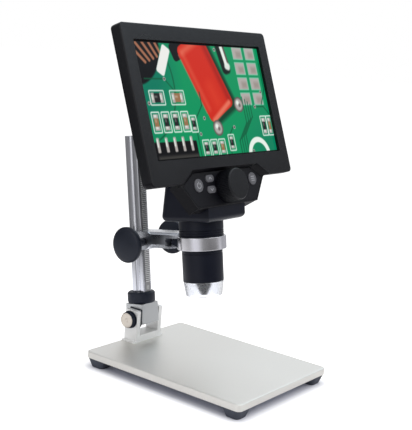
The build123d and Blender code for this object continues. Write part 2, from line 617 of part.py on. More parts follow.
# Clear tip: a light hood that narrows to the specimen, its spigot pushed into the sleeve.
turned(
    [
        (TIP_R - TIP_WALL, TIP_LOW + 0.3), (TIP_R - TIP_WALL + 0.4, TIP_LOW), (TIP_R - 0.5, TIP_LOW),
        (TIP_R, TIP_LOW + 0.6), (SLEEVE_R - 0.15, SLEEVE_LOW), (sleeve_in, SLEEVE_LOW),
        (sleeve_in, 36.2), (sleeve_in - 1.1, 36.2), (sleeve_in - 1.1, SLEEVE_LOW - 1.0),
    ],
    "clear_tip",
)
# Lamp board: a ring with eight white LEDs on its underside.
LED_COUNT, LED_RADIUS, LED_W, LED_H = 8, 10.6, 2.8, 0.9
turned(
    [
        (8.2, BOARD_Z), (sleeve_in - 0.1, BOARD_Z), (sleeve_in - 0.1, BOARD_Z + BOARD_T),
        (8.2, BOARD_Z + BOARD_T),
    ],
    "lamp_board",
)
with BuildPart() as lamp_leds:
    with BuildSketch(level(barrel, BOARD_Z - LED_H)):
        with PolarLocations(LED_RADIUS, LED_COUNT):
            Rectangle(LED_W, LED_W)
    extrude(amount=LED_H)
save(lamp_leds, "lamp_leds")
# Nose cone: black light shield round the objective, open at the tip.
NOSE_LOW, NOSE_R, CONE_R = 23.6, 2.3, 7.2
turned(
    [
        (NOSE_R - 0.7, NOSE_LOW), (NOSE_R - 0.2, NOSE_LOW), (NOSE_R + 0.2, NOSE_LOW + 0.5), (5.8, 31.2),
        (CONE_R, BOARD_Z), (CONE_R, BOARD_Z + BOARD_T), (sleeve_in - 0.1, BOARD_Z + BOARD_T),
        (sleeve_in - 0.1, 39.2), (CONE_R - 1.4, 39.2), (CONE_R - 1.4, 36.0), (4.6, 31.2),
        (NOSE_R - 0.7, NOSE_LOW + 1.6),
    ],
    "nose_cone",
)
turned([(0, 24.0), (NOSE_R - 0.7, 24.0), (NOSE_R - 0.7, 24.8), (0, 24.8)], "front_window")

# Lens carrier slides in a guide tube; its drive bar runs up into the camera body.
CARRIER_R, CARRIER_BORE = 9.2, 6.6
CARRIER_LOW, CARRIER_TOP, BAR_TOP = 45.0, 73.0, 114.0
turned(
    [
        (CARRIER_R + SLIDE_GAP, 44.0), (sleeve_in - 0.05, 44.0), (sleeve_in - 0.05, 66.0),
        (CARRIER_R + SLIDE_GAP, 66.0),
    ],
    "lens_guide",
)

# ---- head: frames shared by the screen housing and the camera body -------------------------------
def back_of(depth):
    """Sketch plane inside the housing, depth behind the bezel face, seen from the front."""
    return front_of(screen, depth)


def hexagon(top_half, top, side_half, side, low_half, low):
    """Points of the chin's outline, left and right halves alike."""
    right = [(top_half, top), (side_half, side), (low_half, low)]
    return right + [(-x, v) for x, v in reversed(right)]


housing_low = -HOUSING_DROP - HOUSING_H / 2
CHIN_WALL = 1.2
chin_outline = hexagon(CHIN_TOP_HALF + 1.0, CHIN_TOP, CHIN_SIDE_HALF, CHIN_SIDE, CHIN_LOW_HALF, CHIN_LOW)
# The chin's underside falls towards the camera body.
chin_rear = hexagon(
    CHIN_TOP_HALF + 1.0, CHIN_TOP, CHIN_SIDE_HALF, CHIN_SIDE, CHIN_LOW_HALF - 2.0, CHIN_LOW - CHIN_DROP,
)
# The fascia's seat, a wall inside the chin, and the wider mouth of the recess at the bezel face.
fascia_outline = hexagon(
    CHIN_TOP_HALF - CHIN_WALL, CHIN_TOP - 2.0, CHIN_SIDE_HALF - CHIN_WALL, CHIN_SIDE,
    CHIN_LOW_HALF - 0.6, CHIN_LOW + 0.9,
)
mouth_outline = hexagon(
    CHIN_TOP_HALF + 3.8, CHIN_TOP, CHIN_SIDE_HALF + 5.8, CHIN_SIDE, CHIN_LOW_HALF, CHIN_LOW,
)

# ---- control buttons: (width, height, x, height on the screen frame) ----------------------------
buttons = {
    "power_button": (10.0, 10.0, -33.0, -64.0),
    "up_button": (10.0, 5.4, -18.4, -59.7),
    "down_button": (10.0, 5.4, -18.4, -68.1),
    "menu_button": (10.0, 10.0, 36.4, -63.6),
}
BUTTON_LIP = 0.8


def button_outline(width, height, grow=0.0):
    """Round button when width equals height, else a rounded slot, grown by grow all round."""
    if width == height:
        return Circle(width / 2 + grow)
    return SlotOverall(width + 2 * grow, height + 2 * grow)


SHAFT_W_R = 2.0
PCB_T = 1.2
BUTTON_BACK = 7.4
SWITCH_TOP = BUTTON_BACK + BUTTON_TRAVEL + 0.1
BUTTON_BOARD = SWITCH_TOP + 1.6

# ---- front bezel with the chin shell ------------------------------------------------------------
HOUSING_SCREW_R, HOUSING_HEAD_R, HOUSING_HEAD_T, HOUSING_SCREW_DEEP = 1.2, 2.3, 1.8, 3.6
housing_screw_spots = [(-60.0, 52.2), (60.0, 52.2), (-72.0, -57.2), (72.0, -57.2)]
BOSS_X, BODY_SCREW_R, BODY_HEAD_R, BODY_HEAD_T = 18.6, 1.0, 2.2, 1.6
chin_screw_spots = [(-BOSS_X, -74.0), (BOSS_X, -74.0)]
cover_screw_spots = [(-BOSS_X, -27.0), (BOSS_X, -27.0)]
LCD_FRONT, LCD_W, LCD_H, LCD_T, LCD_DROP = 2.3, 164.9, 100.0, 3.9, 1.5
with BuildPart() as front_bezel:
    with BuildSketch(back_of(0)):
        with Locations((0, -HOUSING_DROP)):
            RectangleRounded(HOUSING_W, HOUSING_H, HOUSING_CORNER)
    extrude(amount=-BEZEL_T)
    fillet(front_bezel.faces().sort_by(Axis((0, 0, 0), -screen.y_dir))[-1].edges(), 0.8)
    # Chin shell under the housing.
    with BuildSketch(back_of(FASCIA_DEPTH)):
        with BuildLine():
            Polyline(
                (-CHIN_LOW_HALF, CHIN_LOW), (CHIN_LOW_HALF, CHIN_LOW), (CHIN_SIDE_HALF, CHIN_SIDE),
                (CHIN_SIDE_HALF + 1.8, housing_low), (CHIN_SIDE_HALF + 1.8, housing_low + 2),
                (-CHIN_SIDE_HALF - 1.8, housing_low + 2), (-CHIN_SIDE_HALF - 1.8, housing_low),
                (-CHIN_SIDE_HALF, CHIN_SIDE), close=True,
            )
        make_face()
    extrude(amount=FASCIA_DEPTH - BEZEL_T)
    with BuildSketch(back_of(BEZEL_T)):
        Polygon(*chin_outline, align=None)
    with BuildSketch(back_of(CHIN_BACK)):
        Polygon(*chin_rear, align=None)
    loft()
    # Sunk hexagon with flaring walls, then the seat of the fascia.
    with BuildSketch(back_of(0)):
        Polygon(*mouth_outline, align=None)
    with BuildSketch(back_of(FASCIA_DEPTH)):
        Polygon(*fascia_outline, align=None)
    loft(mode=Mode.SUBTRACT)
    with BuildSketch(back_of(FASCIA_DEPTH)):
        Polygon(*fascia_outline, align=None)
    extrude(amount=-FASCIA_T, mode=Mode.SUBTRACT)
    # Room for the button board behind the fascia.
    with BuildSketch(back_of(FASCIA_DEPTH + FASCIA_T)):
        Polygon(*fascia_outline, align=None)
        offset(amount=-1.8, kind=Kind.INTERSECTION, mode=Mode.REPLACE)
    extrude(amount=-(CHIN_BACK - FASCIA_DEPTH - FASCIA_T - 2.0), mode=Mode.SUBTRACT)
    # Holes for the screws into the camera body.
    with BuildSketch(back_of(CHIN_BACK - 2.0)):
        with Locations(*chin_screw_spots):
            Circle(BODY_SCREW_R + 0.1)
    extrude(amount=-2.0, mode=Mode.SUBTRACT)
    # Screen window and the panel's seat behind it.
    with BuildSketch(back_of(-1)):
        RectangleRounded(WINDOW_W, WINDOW_H, 0.8)
    extrude(amount=-BEZEL_T - 2, mode=Mode.SUBTRACT)
    with BuildSketch(back_of(LCD_FRONT)):
        with Locations((0, -LCD_DROP)):
            Rectangle(LCD_W + 0.4, LCD_H + 0.4)
    extrude(amount=-BEZEL_T, mode=Mode.SUBTRACT)
    # Blind holes for the housing screws, and the bearing of the focus wheel's shaft.
    with BuildSketch(back_of(BEZEL_T)):
        with Locations(*housing_screw_spots):
            Circle(HOUSING_SCREW_R)
    extrude(amount=HOUSING_SCREW_DEEP, mode=Mode.SUBTRACT)
    with BuildSketch(back_of(FASCIA_DEPTH)):
        with Locations((0, WHEEL_V)):
            Circle(SHAFT_W_R + 0.05)
    extrude(amount=-CHIN_BACK, mode=Mode.SUBTRACT)
save(front_bezel, "front_bezel")

with BuildPart() as control_fascia:
    with BuildSketch(back_of(FASCIA_DEPTH)):
        Polygon(*fascia_outline, align=None)
        offset(amount=-0.3, kind=Kind.INTERSECTION, mode=Mode.REPLACE)
        with Locations((0, WHEEL_V)):
            Circle(SHAFT_W_R + 0.6, mode=Mode.SUBTRACT)
    extrude(amount=-FASCIA_T)
    for width, height, x, v in buttons.values():
        with BuildSketch(back_of(FASCIA_DEPTH)):
            with Locations((x, v)):
                button_outline(width, height, BUTTON_GAP)
        extrude(amount=-FASCIA_T, mode=Mode.SUBTRACT)
save(control_fascia, "control_fascia")

for label, (width, height, x, v) in buttons.items():
    with BuildPart() as button:
        with BuildSketch(back_of(FASCIA_DEPTH - BUTTON_PROUD)):
            with Locations((x, v)):
                button_outline(width, height)
        extrude(amount=-(BUTTON_BACK - FASCIA_DEPTH + BUTTON_PROUD))
        crown = button.faces().sort_by(Axis((0, 0, 0), -screen.y_dir))[-1]
        fillet(crown.edges(), 0.4)
        # A lip behind the fascia keeps the button in.
        with BuildSketch(back_of(BUTTON_BACK - 0.9)):
            with Locations((x, v)):
                button_outline(width, height, BUTTON_LIP)
        extrude(amount=-0.9)
    save(button, label)

with BuildPart() as button_board:
    with BuildSketch(back_of(BUTTON_BOARD)):
        Polygon(*fascia_outline, align=None)
        offset(amount=-3.4, kind=Kind.INTERSECTION, mode=Mode.REPLACE)
        with Locations((0, WHEEL_V)):
            Circle(SHAFT_W_R + 1.5, mode=Mode.SUBTRACT)
    extrude(amount=-PCB_T)
    with BuildSketch(back_of(SWITCH_TOP)):
        with Locations(*[(x, v) for _, _, x, v in buttons.values()]):
            Rectangle(5.0, 5.0)
    extrude(amount=-(BUTTON_BOARD - SWITCH_TOP))
save(button_board, "button_board")

# ---- focus wheel: a deep drum with fine grips, turning the pinion of the lens carrier -----------
WHEEL_GRIPS = 30
with BuildPart() as focus_wheel:
    with BuildSketch(back_of(FASCIA_DEPTH - 0.4)):
        with Locations((0, WHEEL_V)):
            Circle(WHEEL_R)
    extrude(amount=WHEEL_PROUD + FASCIA_DEPTH - 0.4)
    face = focus_wheel.faces().sort_by(Axis((0, 0, 0), -screen.y_dir))[-1]
    chamfer(face.edges(), 0.9)
    with BuildSketch(back_of(FASCIA_DEPTH - 2.0)):
        with Locations((0, WHEEL_V)):
            with PolarLocations(WHEEL_R + 0.35, WHEEL_GRIPS):
                Circle(0.7)
    extrude(amount=WHEEL_PROUD + 0.6, mode=Mode.SUBTRACT)
    with BuildSketch(back_of(FASCIA_DEPTH - 0.4)):
        with Locations((0, WHEEL_V)):
            Circle(SHAFT_W_R)
    extrude(amount=6.0, mode=Mode.SUBTRACT)
save(focus_wheel, "focus_wheel")

LENS_TEETH, LENS_PINION_BACK, LENS_PINION_W = 14, 22.5, 5.0
lens_pinion_r = LENS_TEETH * MODULE / 2
SHAFT_END = 30.0
with BuildPart() as wheel_shaft:
    with BuildSketch(back_of(FASCIA_DEPTH - 6.4)):
        with Locations((0, WHEEL_V)):
            Circle(SHAFT_W_R)
    extrude(amount=-(SHAFT_END - FASCIA_DEPTH + 6.4))
save(wheel_shaft, "wheel_shaft")

with BuildPart() as lens_pinion:
    with BuildSketch(back_of(LENS_PINION_BACK)):
        with BuildLine():
            Polyline(*pinion_outline(LENS_TEETH, (0, WHEEL_V)), close=True)
        make_face()
        with Locations((0, WHEEL_V)):
            Circle(SHAFT_W_R, mode=Mode.SUBTRACT)
    extrude(amount=-LENS_PINION_W)
save(lens_pinion, "lens_pinion")

# Lens carrier: tube, upright bar and a rack whose teeth lie along the wheel's axis.
BAR_IN, BAR_OUT = lens_pinion_r + DEDENDUM, 7.2
BAR_FRONT, BAR_BACK = -11.0, -2.0
with BuildPart() as lens_carrier:
    with BuildSketch(level(barrel, CARRIER_LOW)):
        Circle(CARRIER_R)
        Circle(CARRIER_BORE, mode=Mode.SUBTRACT)
    extrude(amount=CARRIER_TOP - CARRIER_LOW)
    with BuildSketch(level(barrel, CARRIER_TOP - 2.0)):
        with Locations(((BAR_IN + BAR_OUT) / 2, (BAR_FRONT + BAR_BACK) / 2)):
            Rectangle(BAR_OUT - BAR_IN - 0.2, BAR_BACK - BAR_FRONT)
    extrude(amount=BAR_TOP - CARRIER_TOP)
    with BuildSketch(back_of(LENS_PINION_BACK - 1.5)):
        with BuildLine():
            lens_teeth = rack_line(WHEEL_V - 4.5 * pitch, 10, lens_pinion_r, direction=-1)
            Polyline(
                (BAR_OUT, WHEEL_V - 5.2 * pitch), (BAR_IN, WHEEL_V - 5.2 * pitch), *lens_teeth,
                (BAR_IN, WHEEL_V + 5.2 * pitch), (BAR_OUT, WHEEL_V + 5.2 * pitch), close=True,
            )
        make_face()
    extrude(amount=-(LENS_PINION_W + 3.0))
save(lens_carrier, "lens_carrier")

# Objective: two glass lenses in the carrier, each bulging on both faces round a small flat.
LENS_EDGE, LENS_MIDDLE, LENS_FLAT = 0.6, 1.4, 0.6
for label, height in (("objective_lens", 47.0), ("relay_lens", 69.0)):
    with BuildPart() as lens:
        with BuildSketch(barrel_side):
            with BuildLine():
                rim = CARRIER_BORE - 0.05
                sag = LENS_MIDDLE - LENS_EDGE
                Line((LENS_FLAT, height - LENS_MIDDLE), (0, height - LENS_MIDDLE))
                Line((0, height - LENS_MIDDLE), (0, height + LENS_MIDDLE))
                Line((0, height + LENS_MIDDLE), (LENS_FLAT, height + LENS_MIDDLE))
                ThreePointArc(
                    (LENS_FLAT, height + LENS_MIDDLE), (rim / 2, height + LENS_MIDDLE - 0.3 * sag),
                    (rim, height + LENS_EDGE),
                )
                Line((rim, height + LENS_EDGE), (rim, height - LENS_EDGE))
                ThreePointArc(
                    (rim, height - LENS_EDGE), (rim / 2, height - LENS_MIDDLE + 0.3 * sag),
                    (LENS_FLAT, height - LENS_MIDDLE),
                )
            make_face()
        revolve(axis=barrel_axis)
    save(lens, label)

# ---- camera body: an open shell behind the chin, closed by the screen's rear cover --------------
WALL = 2.2
BODY_SLOPE = tan(radians(SCREEN_LEAN - POST_LEAN))
BODY_TOP = 158.0
SPIGOT_R, SPIGOT_LOW = SLEEVE_R - 1.05, 78.1
PLATEAU_BACK, PLATEAU_LOW, PLATEAU_HIGH, PLATEAU_HALF = 17.0, -43.0, 47.0, 75.0
PLATEAU_DRAFT = 3.0
SHOULDER_V, SHOULDER_DEPTH = -12.0, 60.0
GAP = 0.1
BOARD_SEAT = 88.0
BOSS_R, BOSS_LONG = 3.0, 7.0
sensor_screw_spots = [(-12.5, -12.5), (12.5, -12.5), (-12.5, 12.5), (12.5, 12.5)]
PORT_Z = 112.0
# Charging socket above the port board, card slot below it, both in the right wall.
SOCKET_W, SOCKET_H, SOCKET_Y, SOCKET_IN = 9.0, 3.2, 4.0, 7.5
SLOT_W, SLOT_H, SLOT_IN = 12.0, 1.9, 11.0
port_z = PORT_Z + PCB_T


def body_section(z, inset):
    """Outline across the camera body at height z; its back is drawn in as the body rises."""
    back = BODY_BACK - (z - UPPER_TOP) * BODY_SLOPE
    with BuildSketch(level(barrel, z)) as section:
        with Locations((0, (back - BODY_FRONT) / 2)):
            Rectangle(2 * (BODY_HALF_W - inset), back + BODY_FRONT - 2 * inset)
        corners = section.vertices().group_by(Axis.Y)
        fillet(corners[-1], BODY_CORNER - inset)
        fillet(corners[0], 2.4 - min(inset, 2.0))
    return section.sketch


def above_shoulder(lowered):
    """Side view of what lies above the shoulder's 45 degree roof, lowered by the wall."""
    v = SHOULDER_V - lowered
    return [
        (PLATEAU_BACK - 40.0, v + 40.0), (PLATEAU_BACK + SHOULDER_DEPTH, v - SHOULDER_DEPTH),
        (PLATEAU_BACK + SHOULDER_DEPTH, 80.0), (PLATEAU_BACK - 40.0, 80.0),
    ]


with BuildPart() as body_cavity:
    loft([body_section(UPPER_TOP + WALL, WALL), body_section(BODY_TOP, WALL)])
    with BuildSketch(side_of(screen)):
        with BuildLine():
            Polyline(*above_shoulder(1.4 * WALL), close=True)
        make_face()
    extrude(amount=2 * BODY_HALF_W, both=True, mode=Mode.SUBTRACT)

with BuildPart() as camera_body:
    loft([body_section(UPPER_TOP, 0), body_section(BODY_TOP, 0)])
    fillet(camera_body.faces().sort_by(Axis(barrel.origin, barrel.z_dir))[0].edges(), 4.0)
    with BuildSketch(side_of(screen)):
        with BuildLine():
            Polyline(*above_shoulder(0), close=True)
        make_face()
    extrude(amount=2 * BODY_HALF_W, both=True, mode=Mode.SUBTRACT)
    add(body_cavity.part, mode=Mode.SUBTRACT)
    # Bosses for the screws from the rear cover, merged with the side walls.
    for depth, spots in ((CHIN_BACK, chin_screw_spots), (PLATEAU_BACK, cover_screw_spots)):
        with BuildSketch(back_of(depth)):
            with Locations(*spots):
                Circle(BOSS_R)
        extrude(amount=-BOSS_LONG)
        with BuildSketch(back_of(depth)):
            with Locations(*spots):
                Circle(BODY_SCREW_R)
        extrude(amount=1 - BOSS_LONG, mode=Mode.SUBTRACT)
    # The chin and the rear cover fill what lies in front of the shell.
    with BuildSketch(side_of(screen)):
        with BuildLine():
            Polyline(
                (-40, CHIN_LOW - GAP), (BEZEL_T, CHIN_LOW - GAP),
                (CHIN_BACK + GAP, CHIN_LOW - CHIN_DROP - GAP), (CHIN_BACK + GAP, CHIN_TOP + GAP),
                (HOUSING_T + GAP, CHIN_TOP + GAP), (HOUSING_T + GAP, PLATEAU_LOW - GAP),
                (PLATEAU_BACK + GAP, PLATEAU_LOW + PLATEAU_DRAFT - GAP), (PLATEAU_BACK + GAP, 80),
                (-40, 80), close=True,
            )
        make_face()
    extrude(amount=2 * BODY_HALF_W, both=True, mode=Mode.SUBTRACT)
    # Spigot in the barrel collar, with the light's way up through the floor.
    with BuildSketch(level(barrel, SPIGOT_LOW)):
        Circle(SPIGOT_R)
    extrude(amount=UPPER_TOP + WALL - SPIGOT_LOW)
    # Pillars of the sensor board.
    with BuildSketch(level(barrel, UPPER_TOP + WALL)):
        with Locations(*sensor_screw_spots):
            Circle(2.2)
    extrude(amount=BOARD_SEAT - UPPER_TOP - WALL)
    with BuildSketch(level(barrel, SPIGOT_LOW)):
        Circle(sleeve_in)
    extrude(amount=BOARD_SEAT - SPIGOT_LOW, mode=Mode.SUBTRACT)
    # Charging socket and card slot in the right wall.
    with BuildSketch(side_of(barrel, BODY_HALF_W)):
        with Locations((SOCKET_Y, port_z + SOCKET_H / 2)):
            RectangleRounded(SOCKET_W + 0.4, SOCKET_H + 0.4, 1.4)
        with Locations((SOCKET_Y, PORT_Z - SLOT_H / 2)):
            Rectangle(SLOT_W + 0.4, SLOT_H + 0.4)
    extrude(amount=-2 * WALL, mode=Mode.SUBTRACT)
    # Ledge that carries the port board.
    with BuildSketch(level(barrel, PORT_Z - 4.0)):
        with Locations((BODY_HALF_W - WALL - 3.0, SOCKET_Y - SLOT_W / 2 - 3.0)):
            Rectangle(8.0, 3.0)
    extrude(amount=4.0 - 0.05)
save(camera_body, "camera_body")

# Sensor board with a notch for the lens carrier's bar; the chip looks down the barrel.
CHIP_W = 5.6
with BuildPart() as sensor_board:
    with BuildSketch(level(barrel, BOARD_SEAT)):
        Rectangle(30.0, 30.0)
        with Locations(((BAR_IN + BAR_OUT) / 2, -8.0)):
            Rectangle(BAR_OUT - BAR_IN + 2.0, 14.4, mode=Mode.SUBTRACT)
        with Locations(*sensor_screw_spots):
            Circle(1.0, mode=Mode.SUBTRACT)
    extrude(amount=1.6)
save(sensor_board, "sensor_board")

with BuildPart() as image_sensor:
    with BuildSketch(level(barrel, BOARD_SEAT)):
        Rectangle(CHIP_W, CHIP_W)
    extrude(amount=-1.2)
save(image_sensor, "image_sensor")

with BuildPart() as port_board:
    with BuildSketch(level(barrel, PORT_Z)):
        with Locations((15.0, SOCKET_Y - 1.0)):
            Rectangle(11.6, 14.0)
    extrude(amount=PCB_T)
save(port_board, "port_board")

with BuildPart() as charge_socket:
    with BuildSketch(side_of(barrel, BODY_HALF_W - 0.3)):
        with Locations((SOCKET_Y, port_z + SOCKET_H / 2)):
            RectangleRounded(SOCKET_W, SOCKET_H, 1.2)
    extrude(amount=-SOCKET_IN)
    with BuildSketch(side_of(barrel, BODY_HALF_W - 0.3)):
        with Locations((SOCKET_Y, port_z + SOCKET_H / 2)):
            RectangleRounded(SOCKET_W - 0.8, SOCKET_H - 0.8, 0.9)
            RectangleRounded(SOCKET_W - 2.6, 0.7, 0.3, mode=Mode.SUBTRACT)
    extrude(amount=-SOCKET_IN + 1.5, mode=Mode.SUBTRACT)
save(charge_socket, "charge_socket")

with BuildPart() as card_slot:
    with BuildSketch(side_of(barrel, BODY_HALF_W - 0.5)):
        with Locations((SOCKET_Y, PORT_Z - SLOT_H / 2)):
            Rectangle(SLOT_W, SLOT_H)
    extrude(amount=-SLOT_IN)
    with BuildSketch(side_of(barrel, BODY_HALF_W - 0.5)):
        with Locations((SOCKET_Y, PORT_Z - SLOT_H / 2)):
            Rectangle(SLOT_W - 1.0, SLOT_H - 0.8)
    extrude(amount=-SLOT_IN + 1.0, mode=Mode.SUBTRACT)
save(card_slot, "card_slot")

# ---- rear cover of the screen housing, with its raised plateau ----------------------------------
plateau_mid = (PLATEAU_LOW + PLATEAU_HIGH) / 2
plateau_h = PLATEAU_HIGH - PLATEAU_LOW
CAVITY_BACK, CAVITY_IN = PLATEAU_BACK - 1.8, 5.0
MAIN_BOARD_Y, MAIN_BOARD_W, MAIN_BOARD_H, MAIN_BOARD_T = 8.5, 130.0, 70.0, 1.6
main_screw_spots = [(-61.0, -29.0), (61.0, -29.0), (-61.0, 33.0), (61.0, 33.0)]

with BuildPart() as rear_cover:
    with BuildSketch(back_of(BEZEL_T)):
        with Locations((0, -HOUSING_DROP)):
            RectangleRounded(HOUSING_W - 0.5, HOUSING_H - 0.25, HOUSING_CORNER - 0.2)
    extrude(amount=BEZEL_T - HOUSING_T)
    fillet(rear_cover.faces().sort_by(Axis((0, 0, 0), -screen.y_dir))[0].edges(), 1.6)
    with BuildSketch(back_of(HOUSING_T)):
        with Locations((0, plateau_mid)):
            RectangleRounded(2 * PLATEAU_HALF, plateau_h, 6.0)
    with BuildSketch(back_of(PLATEAU_BACK)):
        with Locations((0, plateau_mid)):
            RectangleRounded(2 * (PLATEAU_HALF - PLATEAU_DRAFT), plateau_h - 2 * PLATEAU_DRAFT, 4.5)
    loft()
    with BuildSketch(back_of(BEZEL_T)):
        with Locations((0, plateau_mid)):
            Rectangle(2 * (PLATEAU_HALF - CAVITY_IN), plateau_h - 2 * CAVITY_IN)
    extrude(amount=BEZEL_T - CAVITY_BACK, mode=Mode.SUBTRACT)
    # Pillars of the main board.
    with BuildSketch(back_of(CAVITY_BACK)):
        with Locations(*main_screw_spots):
            Circle(2.6)
    extrude(amount=CAVITY_BACK - MAIN_BOARD_Y - MAIN_BOARD_T - 0.02)
    # Cooling slots, cable opening, and the screw holes.
    with BuildSketch(back_of(PLATEAU_BACK)):
        with Locations(*[(x, 30.0) for x in range(-30, 31, 5)]):
            SlotOverall(14.0, 1.8, rotation=90)
        with Locations((0, -28.0)):
            RectangleRounded(24.0, 9.0, 2.0)
    extrude(amount=PLATEAU_BACK - CAVITY_BACK, mode=Mode.SUBTRACT)
    with BuildSketch(back_of(HOUSING_T)):
        with Locations(*housing_screw_spots):
            Circle(HOUSING_HEAD_R + 0.1)
    extrude(amount=HOUSING_HEAD_T, mode=Mode.SUBTRACT)
    with BuildSketch(back_of(HOUSING_T)):
        with Locations(*housing_screw_spots):
            Circle(HOUSING_SCREW_R + 0.05)
    extrude(amount=HOUSING_T - BEZEL_T, mode=Mode.SUBTRACT)
    with BuildSketch(back_of(CAVITY_BACK)):
        with Locations(*cover_screw_spots):
            Circle(BODY_SCREW_R + 0.1)
    extrude(amount=CAVITY_BACK - PLATEAU_BACK, mode=Mode.SUBTRACT)
    # The chin block fills the middle of the lower edge.
    with BuildSketch(back_of(BEZEL_T)):
        Polygon(*chin_outline, align=None)
        offset(amount=GAP, kind=Kind.INTERSECTION, mode=Mode.REPLACE)
    extrude(amount=BEZEL_T - PLATEAU_BACK, mode=Mode.SUBTRACT)
save(rear_cover, "rear_cover")

with BuildPart() as housing_screws:
    with BuildSketch(back_of(HOUSING_T - 0.1)):
        with Locations(*housing_screw_spots):
            Circle(HOUSING_HEAD_R)
    extrude(amount=HOUSING_HEAD_T - 0.1)
    with BuildSketch(back_of(HOUSING_T - HOUSING_HEAD_T)):
        with Locations(*housing_screw_spots):
            Circle(HOUSING_SCREW_R - 0.02)
    extrude(amount=HOUSING_T - HOUSING_HEAD_T - BEZEL_T + HOUSING_SCREW_DEEP - 0.1)
    with BuildSketch(back_of(HOUSING_T - 0.1)):
        with Locations(*housing_screw_spots):
            Rectangle(2.6, 0.6)
            Rectangle(0.6, 2.6)
    extrude(amount=0.9, mode=Mode.SUBTRACT)
save(housing_screws, "housing_screws")

# Four screws into the camera body's bosses: two from the chin, two from the rear cover.
with BuildPart() as body_screws:
    for seat, spots in ((CHIN_BACK - 2.0, chin_screw_spots), (CAVITY_BACK, cover_screw_spots)):
        with BuildSketch(back_of(seat)):
            with Locations(*spots):
                Circle(BODY_HEAD_R)
        extrude(amount=BODY_HEAD_T)
        with BuildSketch(back_of(seat)):
            with Locations(*spots):
                Circle(BODY_SCREW_R - 0.02)
        extrude(amount=-BOSS_LONG)
save(body_screws, "body_screws")

# ---- inside the housing: panel, main board and battery -------------------------------------------
with BuildPart() as lcd_panel:
    with BuildSketch(back_of(LCD_FRONT + 0.05)):
        with Locations((0, -LCD_DROP)):
            Rectangle(LCD_W, LCD_H)
    extrude(amount=-LCD_T)
save(lcd_panel, "lcd_panel")

with BuildPart() as main_board:
    with BuildSketch(back_of(MAIN_BOARD_Y)):
        with Locations((0, plateau_mid)):
            Rectangle(MAIN_BOARD_W, MAIN_BOARD_H)
        with Locations(*cover_screw_spots):
            Circle(BODY_HEAD_R + 0.6, mode=Mode.SUBTRACT)
    extrude(amount=-MAIN_BOARD_T)
    with BuildSketch(back_of(MAIN_BOARD_Y + MAIN_BOARD_T)):
        with Locations((-46.0, 20.0), (46.0, -12.0)):
            Rectangle(14.0, 14.0)
        with Locations((0, -28.0)):
            Rectangle(18.0, 4.0)
    extrude(amount=-1.4)
save(main_board, "main_board")

with BuildPart() as battery:
    with BuildSketch(back_of(MAIN_BOARD_Y + MAIN_BOARD_T + 0.2)):
        with Locations((0, 12.0)):
            RectangleRounded(66.0, 46.0, 2.0)
    extrude(amount=-(CAVITY_BACK - MAIN_BOARD_Y - MAIN_BOARD_T - 0.4))
save(battery, "battery")
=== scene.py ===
"""Digital microscope with a seven inch screen on a tilting rack-and-pinion stand.

Lengths in this file are millimetres; meshes are scaled to metres as they are made.
"""
import json
import bmesh
import bpy
import numpy as np
from mathutils import Matrix, Vector


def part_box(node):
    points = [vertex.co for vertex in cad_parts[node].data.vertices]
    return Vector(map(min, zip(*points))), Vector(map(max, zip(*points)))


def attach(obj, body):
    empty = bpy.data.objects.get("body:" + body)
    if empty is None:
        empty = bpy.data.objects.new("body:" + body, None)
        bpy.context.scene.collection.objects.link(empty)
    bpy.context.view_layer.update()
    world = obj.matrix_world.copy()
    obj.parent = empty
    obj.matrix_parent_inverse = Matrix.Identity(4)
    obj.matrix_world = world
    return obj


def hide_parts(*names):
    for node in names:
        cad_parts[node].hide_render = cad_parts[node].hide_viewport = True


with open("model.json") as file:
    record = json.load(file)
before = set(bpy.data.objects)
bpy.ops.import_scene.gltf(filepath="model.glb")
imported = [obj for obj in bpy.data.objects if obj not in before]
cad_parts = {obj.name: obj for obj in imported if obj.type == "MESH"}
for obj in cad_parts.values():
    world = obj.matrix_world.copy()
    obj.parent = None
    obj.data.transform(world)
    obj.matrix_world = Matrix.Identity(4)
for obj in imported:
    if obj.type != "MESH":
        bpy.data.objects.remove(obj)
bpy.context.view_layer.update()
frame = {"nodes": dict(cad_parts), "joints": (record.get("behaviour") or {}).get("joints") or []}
nodes = frame["nodes"]
joints = {joint["name"]: joint for joint in frame["joints"]}
MM = 0.001

# ---- camera
# It stands to the left of the screen's front, level with the top of the screen, and looks slightly down.
# Its frame is 412 by 430 pixels, and it is rolled a few degrees clockwise.
CAMERA_AT = (-586.57, -435.87, 267.08)
CAMERA_YAW, CAMERA_PITCH, CAMERA_ROLL = np.radians((53.33, 10.81, 4.65))
FOCAL_PIXELS, FRAME_PIXELS, SENSOR = 955.34, 412, 36.0

level = np.cos(CAMERA_PITCH)
ahead = Vector((np.sin(CAMERA_YAW) * level, np.cos(CAMERA_YAW) * level, -np.sin(CAMERA_PITCH)))
level_right = Vector((np.cos(CAMERA_YAW), -np.sin(CAMERA_YAW), 0))
level_up = level_right.cross(ahead)
right = np.cos(CAMERA_ROLL) * level_right + np.sin(CAMERA_ROLL) * level_up
up = np.cos(CAMERA_ROLL) * level_up - np.sin(CAMERA_ROLL) * level_right
camera = bpy.data.objects.new("camera", bpy.data.cameras.new("camera"))
camera.data.sensor_width = SENSOR
camera.data.sensor_fit = "HORIZONTAL"
camera.data.lens = FOCAL_PIXELS * SENSOR / FRAME_PIXELS
facing = Matrix((right, up, -ahead)).transposed().to_4x4()
camera.matrix_world = Matrix.Translation(Vector(CAMERA_AT) * MM) @ facing
bpy.context.scene.collection.objects.link(camera)
bpy.context.scene.camera = camera
bpy.context.scene.view_settings.view_transform = "Standard"

# ---- studio: white surroundings, soft boxes and the floor
# The surroundings are plain white to the eye. In reflections they are a light tent, bright at both sides and
# bluish white high up at the right, with gaps in front and behind. Three large soft boxes light the object:
# one in front and above, one overhead and a weak one at the left.


